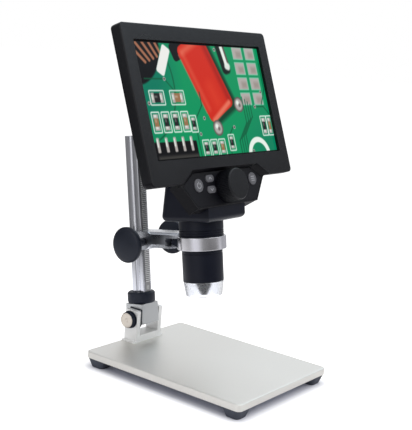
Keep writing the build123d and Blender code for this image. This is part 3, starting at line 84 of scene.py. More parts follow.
def node(tree, kind, inputs=None, **settings):
    """Add a shader node; inputs maps a socket's name or number to a value or to another node's socket."""
    made = tree.nodes.new("ShaderNode" + kind)
    for key, value in settings.items():
        setattr(made, key, value)
    for key, value in (inputs or {}).items():
        socket = made.inputs[key]
        if isinstance(value, bpy.types.NodeSocket):
            tree.links.new(value, socket)
        else:
            socket.default_value = value
    return made


def maths(tree, operation, *values):
    """Output of a Math node."""
    return node(tree, "Math", dict(enumerate(values)), operation=operation).outputs[0]


def vector(tree, operation, *values, **named):
    """Output of a Vector Math node: a number for a dot product or a length, otherwise a vector."""
    made = node(tree, "VectorMath", {**dict(enumerate(values)), **named}, operation=operation)
    return made.outputs["Value" if operation in ("DOT_PRODUCT", "LENGTH") else "Vector"]


def mapped(tree, value, low, high, start=0.0, end=1.0, **settings):
    """Output that runs from start to end as value runs from low to high, and stays there beyond them."""
    ends = {"Value": value, "From Min": low, "From Max": high, "To Min": start, "To Max": end}
    return node(tree, "MapRange", ends, **settings).outputs[0]


def mixed(tree, factor, first, second):
    """Colour that goes from first to second as factor goes from 0 to 1."""
    return node(tree, "Mix", {"Factor": factor, 6: first, 7: second}, data_type="RGBA").outputs[2]


def in_sight(tree, ray):
    """1 for a ray that comes from the camera or through a clear piece, otherwise 0."""
    return maths(tree, "MAXIMUM", ray.outputs["Is Camera Ray"], ray.outputs["Is Transmission Ray"])


def ramp(tree, factor, stops):
    """Colour ramp through stops, each (position, grey value or colour)."""
    made = node(tree, "ValToRGB", {"Fac": factor})
    while len(made.color_ramp.elements) < len(stops):
        made.color_ramp.elements.new(0.5)
    for element, (position, tone) in zip(made.color_ramp.elements, stops):
        element.position = position
        element.color = (*np.broadcast_to(tone, 3), 1)
    return made.outputs["Color"]


AMBIENT, WHITE = (0.50, 0.50, 0.50, 1), (1, 1, 1, 1)
OVERHEAD_FROM, OVERHEAD_TO = 0.25, 0.70
world = bpy.data.worlds.new("studio")
bpy.context.scene.world = world
world.use_nodes = True
tree = world.node_tree
tree.nodes.clear()
ray = node(tree, "LightPath")
direction = node(tree, "TexCoord").outputs["Generated"]
# Turn round the vertical: 0 and 1 are the left, 0.25 the front, 0.5 the right and 0.75 the back.
turn = node(tree, "TexGradient", {"Vector": direction}, gradient_type="RADIAL").outputs["Fac"]
around = ramp(tree, turn, [
    (0.0, 0.75), (0.06, 0.70), (0.12, 0.25), (0.20, 0.16), (0.28, 0.20), (0.33, 0.30), (0.37, 0.50),
    (0.40, 0.10), (0.43, 0.30), (0.47, 0.40), (0.54, 0.85), (0.62, 0.95), (0.69, 0.50), (0.75, 0.16),
    (0.80, 0.20), (0.88, 0.30), (1.0, 0.75),
])
above = ramp(tree, turn, [
    (0.0, (0.50, 0.51, 0.54)), (0.30, (0.50, 0.53, 0.60)), (0.385, (0.55, 0.60, 0.68)),
    (0.43, (1.70, 2.05, 2.30)), (0.50, (1.30, 1.50, 1.65)), (0.60, (0.85, 0.88, 0.95)),
    (0.76, (0.46, 0.47, 0.50)), (1.0, (0.50, 0.51, 0.54)),
])
height = node(tree, "SeparateXYZ", {0: direction}).outputs["Z"]
overhead = mapped(tree, height, OVERHEAD_FROM, OVERHEAD_TO, interpolation_type="SMOOTHSTEP")
tent = mixed(tree, ray.outputs["Is Glossy Ray"], AMBIENT, mixed(tree, overhead, around, above))
unseen = node(tree, "Background", {"Color": tent, "Strength": 1.0})
plain = node(tree, "Background", {"Color": WHITE, "Strength": 1.0})
sky = node(tree, "MixShader", {0: in_sight(tree, ray), 1: unseen.outputs[0], 2: plain.outputs[0]})
node(tree, "OutputWorld", {"Surface": sky.outputs[0]})

# Each soft box: where it stands, the side of its square, its power; all point at LIT_POINT.
SOFT_BOXES = {
    "front_box": ((220, -830, 845), 1000, 4.0),
    "top_box": ((-60, -60, 1150), 1400, 4.0),
    "left_box": ((-900, 100, 420), 500, 1.2),
}
LIT_POINT = Vector((0, -11, 130)) * MM
for name, (place, width, power) in SOFT_BOXES.items():
    lamp = bpy.data.lights.new(name, "AREA")
    lamp.size = width * MM
    lamp.energy = power
    box = bpy.data.objects.new(name, lamp)
    box.location = Vector(place) * MM
    box.rotation_euler = (LIT_POINT - box.location).to_track_quat("-Z", "Y").to_euler()
    bpy.context.scene.collection.objects.link(box)

# White paper on a greyer bench. It keeps the shadow round the base, with a painted shadow laid over it: near
# the plate its tone is darker and bluish. Its glow, none at the plate, rises with distance, narrows the
# shadow and glows white beyond. Metal mirrors a painted reflection of it, a glow seen only in reflections,
# in tones that depend on the distance from the plate and, far away, on the bearing.
FLOOR_HALF, GLOW_REACH, SHADE_INSET = 6000.0, 1200.0, 8.0
PAINTED_REFLECTION_TINT = (0.95, 0.96, 1.06, 1)
floor_mesh = bpy.data.meshes.new("floor")
corners = np.array([(-1, -1, 0), (1, -1, 0), (1, 1, 0), (-1, 1, 0)]) * FLOOR_HALF * MM
floor_mesh.from_pydata(corners.tolist(), [], [(0, 1, 2, 3)])
floor = bpy.data.objects.new("floor", floor_mesh)
bpy.context.scene.collection.objects.link(floor)
low, high = np.array(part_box("base_plate"))[:, :2]
paper = bpy.data.materials.new("floor_paper")
paper.use_nodes = True
tree = paper.node_tree
tree.nodes.clear()
ray = node(tree, "LightPath")
middle, half = (*(low + high) / 2, 0), (*(high - low) / 2 - SHADE_INSET * MM, 0)
from_middle = vector(tree, "SUBTRACT", node(tree, "TexCoord").outputs["Object"], middle)
beyond = vector(tree, "SUBTRACT", vector(tree, "ABSOLUTE", from_middle), half)
distance = vector(tree, "LENGTH", vector(tree, "MAXIMUM", beyond, (0, 0, 0)))
share = maths(tree, "DIVIDE", distance, GLOW_REACH * MM)
# Painted shadow: the paper's tone is darker and bluish near the plate, as under its edge.
paper_and_painted_shadow = ramp(tree, share, [
    (0.0, (0.60, 0.62, 0.74)), (0.016, 0.90), (0.22, 0.88), (0.30, 0.58), (0.42, 0.30), (0.55, 0.20),
])
# The glow rises with distance from the plate, so that beyond a few millimetres it washes out the shadow.
rising = ramp(tree, share, [
    (0.0, 0.0), (0.0035, 0.08), (0.007, 0.32), (0.011, 0.58), (0.020, 0.66), (0.20, 0.64), (0.30, 0.80),
    (0.42, 0.95), (0.55, 1.0),
])
# Painted reflection: a glow seen only in reflections, its tone set by the distance from the plate and, far
# away, by the bearing, and tinted bluish.
near_painted_reflection = ramp(tree, share, [
    (0.0, 0.0), (0.018, 0.16), (0.035, 0.17), (0.06, 0.42), (0.15, 0.42), (0.25, 0.16),
])
bearing = node(tree, "TexGradient", {"Vector": from_middle}, gradient_type="RADIAL").outputs["Fac"]
far_painted_reflection = ramp(tree, bearing, [
    (0.0, 0.62), (0.06, 0.60), (0.12, 0.12), (0.30, 0.15), (0.37, 0.80), (0.41, 0.35), (0.50, 0.30),
    (0.62, 0.10), (0.86, 0.0), (0.93, 0.05), (1.0, 0.62),
])
far = ramp(tree, share, [(0.25, 0.0), (0.50, 1.0)])
painted_reflection = node(tree, "Mix", {"Factor": far, 2: near_painted_reflection, 3: far_painted_reflection}, data_type="FLOAT").outputs[0]
mirrored = ray.outputs["Is Glossy Ray"]
sent = maths(tree, "MULTIPLY", in_sight(tree, ray), rising)
strength = maths(tree, "ADD", sent, maths(tree, "MULTIPLY", mirrored, painted_reflection))
glow = node(tree, "Emission", {"Color": mixed(tree, mirrored, WHITE, PAINTED_REFLECTION_TINT), "Strength": strength})
lit = node(tree, "BsdfDiffuse", {"Color": paper_and_painted_shadow})
sheet = node(tree, "AddShader", {0: lit.outputs[0], 1: glow.outputs[0]})
node(tree, "OutputMaterial", {"Surface": sheet.outputs[0]})
floor_mesh.materials.append(paper)

# ---- rubber feet
# Four square rubber feet taper to the floor, each held by a screw in its pocket.
# Moulded dark rubber, matt, its edges soft and its pores holding a little dust.
SIDE_SHARE, NEARLY_STRAIGHT, GUARD = 0.45, 1.56, 0.1
WELD, SHARP, NEARLY_UPRIGHT = 1e-7, np.radians(38), 0.9


def unit(vectors):
    """The vectors, each divided by its length."""
    return vectors / np.linalg.norm(vectors, axis=-1, keepdims=True)


def rounded(outline, radius, steps=5):
    """Closed outline with each corner turned into an arc tangent to both its sides.

    At a corner that turns by t the arc leaves the sides at radius * tan(t / 2) from the corner, and at most
    at SIDE_SHARE of the shorter side, which cuts the radius down. A point outside each end of the arc, by
    GUARD of that distance, keeps the flats flat under smooth shading.
    """
    outline = np.asarray(outline, float)
    radii = np.broadcast_to(np.asarray(radius, float), len(outline))
    points = []
    for k, corner in enumerate(outline):
        before, after = outline[k - 1] - corner, outline[(k + 1) % len(outline)] - corner
        room = SIDE_SHARE * min(np.linalg.norm(before), np.linalg.norm(after))
        before, after = unit(before), unit(after)
        half = np.arccos(np.clip(before @ after, -1, 1)) / 2
        if radii[k] <= 0 or half > NEARLY_STRAIGHT:
            points.append(corner)
            continue
        reach = min(radii[k] / np.tan(half), room)
        arc = reach * np.tan(half)
        centre = corner + unit(before + after) * arc / np.sin(half)
        first, last = corner + before * reach, corner + after * reach
        share = np.linspace(0, 1, steps + 1)[:, None]
        curve = centre + unit(first * (1 - share) + last * share - centre) * arc
        points += [first + before * GUARD * reach, *curve, last + after * GUARD * reach]
    return np.array(points)


def placed(name, mesh, material, body, sharp, flat=None):
    """An object of a mesh whose points are merged, smooth but for edges sharper than sharp, on a body.

    Where flat is given, faces that meet at less than that angle are joined.
    """
    shell = bmesh.new()
    shell.from_mesh(mesh)
    bmesh.ops.remove_doubles(shell, verts=shell.verts, dist=WELD)
    if flat:
        bmesh.ops.dissolve_limit(shell, angle_limit=flat, verts=shell.verts, edges=shell.edges)
    bmesh.ops.recalc_face_normals(shell, faces=shell.faces)
    shell.to_mesh(mesh)
    shell.free()
    mesh.materials.clear()
    mesh.materials.append(material)
    mesh.polygons.foreach_set("use_smooth", np.ones(len(mesh.polygons), bool))
    mesh.set_sharp_from_angle(angle=sharp)
    made = bpy.data.objects.new(name, mesh)
    bpy.context.scene.collection.objects.link(made)
    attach(made, body)
    return made


def piece(name, points, faces, material, body, colours=None):
    """A finished object: mesh from points in millimetres and faces, riding on a body.

    Where colours are given, one linear colour for each point, they are kept as the attribute picture.
    """
    mesh = bpy.data.meshes.new(name)
    mesh.from_pydata((np.asarray(points).reshape(-1, 3) * MM).tolist(), [], faces)
    if colours is not None:
        tones = np.column_stack([colours, np.ones(len(colours))])
        mesh.color_attributes.new("picture", "FLOAT_COLOR", "POINT").data.foreach_set("color", tones.ravel())
    return placed(name, mesh, material, body, SHARP)


def quads(rows, columns, wrap_rows=False, wrap_columns=True):
    """Faces of a grid of points, numbered along each row, joined round where it wraps."""
    i = np.arange(rows if wrap_rows else rows - 1)[:, None]
    j = np.arange(columns if wrap_columns else columns - 1)[None, :]
    below, above = i * columns, (i + 1) % rows * columns
    beside = (j + 1) % columns
    return np.stack([below + j, below + beside, above + beside, above + j], -1).reshape(-1, 4).tolist()


def turned(name, outline, origin, axis, material, body, count=96, ripple=None):
    """Turned piece: the closed outline of (radius, height) points carried round the axis.

    A point is origin + axis * height + (cos a, sin a) * (radius + ripple(a, radius, height)), with its
    cosine and sine along two unit vectors across the axis, the first of them level.
    """
    outline, axis = np.asarray(outline, float), np.asarray(axis, float)
    angle = np.arange(count) * 2 * np.pi / count
    first = unit(np.cross(axis, (0, 0, 1)) if abs(axis[2]) < NEARLY_UPRIGHT else np.cross((0, 1, 0), axis))
    second = np.cross(axis, first)
    radius, height = outline[:, 0, None], outline[:, 1, None]
    if ripple is not None:
        radius = radius + ripple(angle[None, :], radius, height)
    points = (
        origin + height[..., None] * axis
        + (radius * np.cos(angle))[..., None] * first + (radius * np.sin(angle))[..., None] * second
    )
    return piece(name, points, quads(len(outline), count, wrap_rows=True), material, body)


NOISE_LOW, NOISE_HIGH, GRAIN_DEPTH = 0.3, 0.7, 0.0004


def finish(
    name, colour, roughness, metallic=0.0, mottle=0.08, grain=(1400, 0.05), cloud=45, spread=0.07,
    specular=0.5,
):
    """Material: a fine bump from grain (scale, strength), cloudy roughness, slightly mottled colour.

    roughness wanders by spread, and the colour by the share mottle, as a noise of scale cloud goes from
    NOISE_LOW to NOISE_HIGH.
    """
    made = bpy.data.materials.new(name)
    made.use_nodes = True
    tree = made.node_tree
    shader = tree.nodes["Principled BSDF"]
    shader.inputs["Metallic"].default_value = metallic
    shader.inputs["Specular IOR Level"].default_value = specular
    place = node(tree, "TexCoord").outputs["Object"]
    cloudy = node(tree, "TexNoise", {"Vector": place, "Scale": cloud, "Detail": 4.0}).outputs["Fac"]
    fine = node(tree, "TexNoise", {"Vector": place, "Scale": grain[0], "Detail": 2.0}).outputs["Fac"]
    graded = mapped(tree, cloudy, NOISE_LOW, NOISE_HIGH, roughness - spread, roughness + spread)
    tree.links.new(graded, shader.inputs["Roughness"])
    dark, light = [tuple(c * f for c in colour) for f in (1 - mottle, 1 + mottle)]
    tree.links.new(ramp(tree, cloudy, [(NOISE_LOW, dark), (NOISE_HIGH, light)]), shader.inputs["Base Color"])
    bump = node(tree, "Bump", {"Height": fine, "Strength": grain[1], "Distance": GRAIN_DEPTH})
    tree.links.new(bump.outputs[0], shader.inputs["Normal"])
    return made


def dress(material, *names):
    """Give CAD nodes a material in place of their own."""
    for name in names:
        nodes[name].data.materials.clear()
        nodes[name].data.materials.append(material)


def corner_of(name):
    """Lowest and highest corner of a CAD node, in millimetres."""
    return np.array(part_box(name)) / MM


FOOT_TOP_W, FOOT_TIP_W, FOOT_TOP_CORNER, FOOT_TIP_CORNER = 17.0, 11.6, 4.0, 3.0
FOOT_POCKET_R, FOOT_POCKET_H, FOOT_HOLE_R = 3.4, 3.5, 1.6
FOOT_EDGE, FOOT_TOP_EDGE, POCKET_EDGE = 0.5, 0.2, 0.3
rubber = finish("foot_rubber", (0.060, 0.067, 0.088), 0.72, mottle=0.25, grain=(1800, 0.25), cloud=160)


def square(width, corner):
    """Outline of a square with rounded corners about the origin."""
    half = width / 2
    return rounded([(-half, -half), (half, -half), (half, half), (-half, half)], corner, 8)


def tapered_foot(name, middle, height):
    """Foot as a grid: rows of the outline from top to tip, then circles up the screw's pocket.

    A row at height z lies between the outlines of tip and top in the share z / height. Its points move
    in by an inset, as a share of the half width, where the edges are round.
    """
    top, tip = square(FOOT_TOP_W, FOOT_TOP_CORNER), square(FOOT_TIP_W, FOOT_TIP_CORNER)
    turn = np.linspace(0, np.pi / 2, 5)
    levels = [(height, FOOT_TOP_EDGE), (height - FOOT_TOP_EDGE, 0.0), (height / 2, 0.0)]
    levels += [(FOOT_EDGE * (1 - np.sin(a)), FOOT_EDGE * (1 - np.cos(a))) for a in turn]
    rows = []
    for z, inset in levels:
        flat = tip + (top - tip) * z / height
        rows.append(np.column_stack([flat * (1 - 2 * inset / FOOT_TIP_W), np.full(len(flat), z)]))
    way = unit(tip)
    for radius, z in (
        (FOOT_POCKET_R + POCKET_EDGE, 0), (FOOT_POCKET_R, POCKET_EDGE), (FOOT_POCKET_R, FOOT_POCKET_H),
        (FOOT_HOLE_R, FOOT_POCKET_H), (FOOT_HOLE_R, height),
    ):
        rows.append(np.column_stack([way * radius, np.full(len(way), z)]))
    points = np.array(rows) + (*middle, 0)
    return piece(name, points, quads(len(rows), len(tip), wrap_rows=True), rubber, "base")


for place in ("front_left", "front_right", "back_left", "back_right"):
    low, high = corner_of("foot_" + place)
    foot = tapered_foot("rubber_foot_" + place, (low[:2] + high[:2]) / 2, high[2])
    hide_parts("foot_" + place)

# ---- base plate
# The stage plate is cut from 5.5 mm aluminium, its corners and edges rounded, then bead blasted and clear
# anodised. The blasting leaves a fine even grain.
PLATE_CORNER, PLATE_TOP_EDGE, PLATE_LOW_EDGE = 4.0, 0.8, 0.4


def stacked(name, outline, levels, axes, material, body):
    """A closed outline stacked along the third of the axes (origin, x, y, z), with flat ends.

    Each level is (inset, height): there the outline's points move in by inset along their own normals,
    worked out as the mean of the normals of the two sides that meet at the point.
    """
    outline = np.asarray(outline, float)
    run = np.roll(outline, -1, 0) - outline
    normal = unit(np.stack([run[:, 1], -run[:, 0]], -1))
    normal = unit(normal + np.roll(normal, 1, 0))
    after = np.roll(outline, -1, 0)
    if np.sum(outline[:, 0] * after[:, 1] - after[:, 0] * outline[:, 1]) < 0:
        normal = -normal
    origin, x, y, z = [np.asarray(v, float) for v in axes]
    rows = []
    for inset, height in levels:
        flat = outline - normal * inset
        rows.append(origin + flat[:, :1] * x + flat[:, 1:] * y + height * z)
    count = len(outline)
    faces = quads(len(rows), count)
    faces += [list(range(count))[::-1], list(range(count * (len(rows) - 1), count * len(rows)))]
    return piece(name, rows, faces, material, body)


def eased(low, high, low_edge, high_edge):
    """Levels (inset, height) of a plate from low to high with quarter-round edges."""
    turn = np.linspace(0, np.pi / 2, 6)
    bottom = [(low_edge * (1 - np.sin(a)), low + low_edge * (1 - np.cos(a))) for a in turn]
    top = [(high_edge * (1 - np.cos(a)), high - high_edge * (1 - np.sin(a))) for a in turn]
    return [(2 * low_edge, low), *bottom, *top, (2 * high_edge, high)]


blasted = finish(
    "blasted_aluminium", (0.78, 0.765, 0.725), 0.44, metallic=1, mottle=0.02, grain=(2200, 0.35),
    cloud=12, spread=0.04,
)
low, high = corner_of("base_plate")
plate = stacked(
    "stage_plate",
    rounded([(low[0], low[1]), (high[0], low[1]), (high[0], high[1]), (low[0], high[1])], PLATE_CORNER, 12),
    eased(low[2], high[2], PLATE_LOW_EDGE, PLATE_TOP_EDGE), (np.zeros(3), *np.eye(3)), blasted, "base",
)
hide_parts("base_plate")

# ---- hinge bracket, pivot block and their screws
# Two ears milled from one aluminium block and etched almost white hold the pivot block between them, which
# is of a darker satin aluminium. The edges of both are broken. The screws are zinc-plated steel.
FLAT, FOLD = np.radians(0.3), np.radians(30)


def softened(name, edge, material, body, segments=2):
    """Stands for a CAD node: its shape, with the sharp edges rounded to a width of edge.

    The node's mesh is copied and merged and its flat areas are joined, then a bevel cuts each edge where
    two faces meet at more than FOLD back by edge, in an arc of as many faces as segments.
    """
    made = placed(name + "_softened", nodes[name].data.copy(), material, body, FOLD, FLAT)
    bevel = made.modifiers.new("edge", "BEVEL")
    bevel.width, bevel.segments, bevel.limit_method = edge * MM, segments, "ANGLE"
    bevel.angle_limit, bevel.harden_normals = FOLD, True
    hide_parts(name)
    return made


satin = finish(
    "satin_aluminium", (0.93, 0.93, 0.92), 0.36, metallic=0.35, mottle=0.03, grain=(1500, 0.1), cloud=60,
    spread=0.06,
)
softened("hinge_bracket", 0.35, satin, "base")
block_satin = finish(
    "block_aluminium", (0.52, 0.53, 0.53), 0.34, metallic=1, mottle=0.03, grain=(1500, 0.2), cloud=60,
    spread=0.06,
)
softened("pivot_block", 0.25, block_satin, "post")
zinc = finish(
    "zinc_plated_steel", (0.55, 0.55, 0.54), 0.32, metallic=1, mottle=0.06, grain=(900, 0.1), cloud=300,
)
dress(
    zinc, "foot_screws", "bracket_screws", "block_grub_screw", "rack_screws", "tension_screws",
    "housing_screws", "body_screws", "drive_shaft", "wheel_shaft", "drive_pinion",
)

# ---- tilt thumb screw
# A straight-knurled black head with a nickel-plated disc pressed into its face, over a black nylon washer.
# It clamps the two ears on the pivot block from the left. Nylon spacers keep the block off them.
PIN_R, DISC_R, DISC_T, DISC_GAP, HUB_DOT_R, DISC_SUNK = 3.0, 6.2, 1.2, 0.1, 1.2, 0.3
FACE_STEP, HEAD_EDGE, BACK_EDGE, PIN_EDGE = 0.5, 0.5, 0.4, 0.5
THUMB_KNURLS, THUMB_KNURL_DEEP = 40, 0.22
RIM_BAND, RIM_FADE, KNURL_POWER = 0.5, 0.3, 0.8


def knurled(rim, count, depth):
    """Ripple of a straight knurl: the radius falls by depth * |sin(angle * count / 2)|^KNURL_POWER.

    It is whole on the rim and fades to none over RIM_FADE, at RIM_BAND inside the rim.
    """
    def ripple(angle, radius, height):
        on_rim = np.clip((radius - rim + RIM_BAND) / RIM_FADE, 0, 1)
        return -depth * on_rim * np.abs(np.sin(angle * count / 2)) ** KNURL_POWER
    return ripple


nickel = finish(
    "warm_nickel", (0.70, 0.64, 0.56), 0.34, metallic=1, mottle=0.05, grain=(700, 0.08), cloud=200,
)
nylon = finish(
    "black_nylon", (0.007, 0.011, 0.024), 0.50, mottle=0.15, grain=(1300, 0.12), cloud=120, specular=0.35,
)
pivot = np.array(joints["post_tilt"]["pos_m"]) / MM
low, high = corner_of("tilt_thumb_screw")
face, pin_end, washer_out = low[0], high[0], corner_of("tilt_washer")[0][0]
head_r = (high[2] - low[2]) / 2
profile = rounded([
    (0, face + DISC_T), (DISC_R - 0.2, face + DISC_T), (DISC_R, face + FACE_STEP),
    (head_r - HEAD_EDGE, face + FACE_STEP), (head_r, face + FACE_STEP + HEAD_EDGE),
    (head_r, washer_out - BACK_EDGE), (head_r - BACK_EDGE, washer_out), (PIN_R, washer_out),
    (PIN_R, pin_end - PIN_EDGE), (PIN_R - PIN_EDGE, pin_end), (0, pin_end),
], (0, 0, 0.1, 0.2, 0.3, 0.2, 0.1, 0, 0.1, 0.1, 0), 3)
thumb = turned(
    "thumb_screw", profile, (0, pivot[1], pivot[2]), (1, 0, 0), nylon, "tilt_screw",
    count=320, ripple=knurled(head_r, THUMB_KNURLS, THUMB_KNURL_DEEP),
)
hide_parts("tilt_thumb_screw")
disc_back = face + DISC_T - DISC_GAP / 2
profile = rounded([
    (0, face), (HUB_DOT_R, face), (HUB_DOT_R + 0.4, face + DISC_SUNK), (DISC_R - 0.8, face + DISC_SUNK),
    (DISC_R - 0.5, face), (DISC_R - DISC_GAP, face), (DISC_R - DISC_GAP, disc_back), (0, disc_back),
], (0, 0.2, 0.2, 0.2, 0.1, 0.2, 0, 0), 3)
turned("thumb_face", profile, (0, pivot[1], pivot[2]), (1, 0, 0), nickel, "tilt_screw")
dress(nylon, "tilt_washer")
# A thin black sheet on the inner face of the left ear, cut out round the spacer, stands a little past the
# ear:
# painted shade, its dark edge along the ear's top and front stands for the shadow in the gap between ear and
# block.
SHADE_SHEET_X, SHADE_SHEET_T, SHADE_SHEET_CUT_R = -10.9, 0.5, 6.3
SHADE_SHEET_FRONT, SHADE_SHEET_BACK, SHADE_SHEET_LOW, SHADE_SHEET_TOP = -8.2, 4.7, -5.2, 8.9
turn = np.linspace(np.arccos(SHADE_SHEET_BACK / SHADE_SHEET_CUT_R), np.pi - np.arcsin(SHADE_SHEET_LOW / SHADE_SHEET_CUT_R), 24)
outline = np.vstack([
    [(SHADE_SHEET_FRONT, SHADE_SHEET_LOW), (SHADE_SHEET_FRONT, SHADE_SHEET_TOP), (SHADE_SHEET_BACK, SHADE_SHEET_TOP)],
    np.column_stack([np.cos(turn), np.sin(turn)]) * SHADE_SHEET_CUT_R,
])
stacked(
    "ear_shade_sheet", outline, [(0, -SHADE_SHEET_T / 2), (0, SHADE_SHEET_T / 2)],
    ((SHADE_SHEET_X, pivot[1], pivot[2]), (0, 1, 0), (0, 0, 1), (1, 0, 0)), nylon, "base",
)

# ---- post, collar and rack
# The post is a bright-drawn aluminium bar with a shallow groove down each side and the rack let into its
# front; drawing leaves fine lines along it. A black plastic collar hides its seat in the pivot block.
POST_SETBACK = 1.4
POST_W, POST_FRONT, POST_BACK, POST_TOP, POST_FOOT = 9.6, -5.8, 7.1, 149.8, 4.6
POST_CORNER, SLOT_CORNER, POST_TOP_EDGE = 1.0, 0.15, [(0.0, -0.4), (0.05, -0.25), (0.35, 0.0)]
RACK_W, RACK_SEAT, RACK_TIP, RACK_ROOT = 6.0, -3.4, 7.2, 6.0
GROOVE_HALF, GROOVE_DEEP, GROOVE_AT = 2.45, 1.2, 0.2
LINE_CREEP, LINE_DEPTH, LINE_STRENGTH = 0.01, 0.0002, 0.25
# Heights and share of the painted shade above the carriage, and the haze added to the roughness there.
SHADE_HAZE_FROM, SHADE_HAZE_TO, SHADE_SHARE, DULL_HAZE = 92.0, 122.0, 0.66, 0.20


def leaning(origin, up_axis):
    """Axes (origin, x, y, z) of a piece that leans back: x to the right, z along up_axis."""
    z = np.asarray(up_axis, float)
    return origin, (1.0, 0, 0), np.cross(z, (1.0, 0, 0)), z


def drawn(name, colour, roughness, direction, fineness=900.0, spread=0.10):
    """Metal with fine lines along direction, which roughness and a bump follow.

    The lines are a noise read at a point's part across direction plus LINE_CREEP of its part along it.
    """
    made = finish(name, colour, roughness, metallic=1, mottle=0.03, grain=(1200, 0.04), cloud=40)
    tree = made.node_tree
    shader = tree.nodes["Principled BSDF"]
    place = node(tree, "TexCoord").outputs["Object"]
    along = vector(tree, "DOT_PRODUCT", place, tuple(direction))
    across = vector(tree, "SUBTRACT", place, vector(tree, "SCALE", tuple(direction), Scale=along))
    creep = vector(tree, "SCALE", tuple(np.array(direction) * LINE_CREEP), Scale=along)
    squeezed = vector(tree, "ADD", across, creep)
    lines = node(tree, "TexNoise", {"Vector": squeezed, "Scale": fineness, "Detail": 3.0}).outputs["Fac"]
    streaks = mapped(tree, lines, NOISE_LOW, NOISE_HIGH, roughness - spread, roughness + spread)
    tree.links.new(streaks, shader.inputs["Roughness"])
    bump = node(tree, "Bump", {"Height": lines, "Strength": LINE_STRENGTH, "Distance": LINE_DEPTH})
    tree.links.new(bump.outputs[0], shader.inputs["Normal"])
    return made


def shaded_and_hazed(material):
    """Painted shade darkens the bar and the rack above the carriage, where their roughness also grows.

    From the height SHADE_HAZE_FROM to SHADE_HAZE_TO the base colour falls to SHADE_SHARE of itself, a
    painted shade under the head, and the roughness grows by DULL_HAZE.
    """
    tree = material.node_tree
    base, rough = [tree.nodes["Principled BSDF"].inputs[name] for name in ("Base Color", "Roughness")]
    height = node(tree, "SeparateXYZ", {0: node(tree, "TexCoord").outputs["Object"]}).outputs["Z"]
    graded = mapped(tree, height, SHADE_HAZE_FROM * MM, SHADE_HAZE_TO * MM)
    fade = mapped(tree, graded, 0.0, 1.0, 1.0, SHADE_SHARE)
    tree.links.new(vector(tree, "SCALE", base.links[0].from_socket, Scale=fade), base)
    tree.links.new(maths(tree, "MULTIPLY_ADD", graded, DULL_HAZE, rough.links[0].from_socket), rough)


post_up = joints["carriage_slide"]["axis"]
post_axes = leaning(pivot - POST_SETBACK * leaning(pivot, post_up)[2], post_up)
bright = drawn("bright_drawn_aluminium", (0.74, 0.75, 0.80), 0.16, post_axes[3], spread=0.06)
# Painted shade: the bar is darker above the carriage.
shaded_and_hazed(bright)
half_w, slot_half = POST_W / 2, RACK_W / 2
corners = (POST_CORNER, POST_CORNER, SLOT_CORNER, 0)
section = rounded([
    (-half_w, POST_BACK), (-half_w, POST_FRONT), (-slot_half, POST_FRONT), (-slot_half, RACK_SEAT),
    (slot_half, RACK_SEAT), (slot_half, POST_FRONT), (half_w, POST_FRONT), (half_w, POST_BACK),
], corners + corners[::-1], 5)
# Each long side dips by GROOVE_DEEP * (1 - t^2) at t half-widths from the middle of its groove.
t, grooved = np.linspace(-1, 1, 13), []
for point, after in zip(section, np.roll(section, -1, 0)):
    grooved.append(point)
    if np.allclose(np.abs((point[0], after[0])), half_w) and abs(after[1] - point[1]) > 2 * GROOVE_HALF:
        out = np.sign(point[0]) * (half_w - GROOVE_DEEP * (1 - t ** 2))
        grooved += [*np.column_stack([out, GROOVE_AT + np.sign(after[1] - point[1]) * t * GROOVE_HALF])]
levels = [(0.0, POST_FOOT)] + [(inset, POST_TOP + drop) for inset, drop in POST_TOP_EDGE]
bar = stacked("drawn_post", grooved, levels, post_axes, bright, "post")
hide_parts("post_bar")
teeth_steel = drawn("rack_steel", (0.80, 0.80, 0.81), 0.36, (1.0, 0.0, 0.0), fineness=1500.0)
tree = teeth_steel.node_tree
place = node(tree, "TexCoord").outputs["Object"]
# Painted shade darkens the gaps between the teeth: the tone follows how far a point stands out from the
# post.
stands_out = vector(tree, "DOT_PRODUCT", place, tuple(-post_axes[2]))
axis_at = float(post_axes[0] @ -post_axes[2])
in_gap = mapped(tree, stands_out, (axis_at + RACK_ROOT) * MM, (axis_at + RACK_TIP) * MM)
gap_shade = ramp(tree, in_gap, [(0.0, 0.25), (0.35, 0.42), (0.65, 0.86), (1.0, 0.95)])
tree.links.new(gap_shade, tree.nodes["Principled BSDF"].inputs["Base Color"])
# Painted shade: the rack too is darker above the carriage.
shaded_and_hazed(teeth_steel)
dress(teeth_steel, "gear_rack")
softened("post_collar", 0.3, nylon, "post")

# ---- focus arm
# Carriage, neck and ring are one aluminium casting, tumbled smooth, which slides on the post. The ring is
# turned bright afterwards.
RING_R, RING_LOW, RING_TOP, RING_SKIN, RING_WALL = 19.2, 59.6, 69.6, 0.06, 0.8
barrel_axes = leaning(np.array(joints["head_swivel"]["pos_m"]) / MM, joints["head_swivel"]["axis"])
cast = finish(
    "tumbled_casting", (0.58, 0.60, 0.64), 0.27, metallic=1, mottle=0.05, grain=(800, 0.16), cloud=70,
    spread=0.08,
)
softened("focus_arm", 0.4, cast, "carriage")
dress(cast, "pinion_bush_left", "pinion_bush_right")
polished = finish(
    "turned_ring", (0.80, 0.79, 0.82), 0.20, metallic=1, mottle=0.02, grain=(500, 0.03), cloud=30,
)
profile = rounded([
    (RING_R - RING_WALL, RING_LOW - RING_SKIN), (RING_R + RING_SKIN, RING_LOW - RING_SKIN),
    (RING_R + RING_SKIN, RING_TOP + RING_SKIN), (RING_R - RING_WALL, RING_TOP + RING_SKIN),
], (0, 0.35, 0.35, 0), 4)
turned("ring_band", profile, barrel_axes[0], barrel_axes[3], polished, "carriage", count=160)

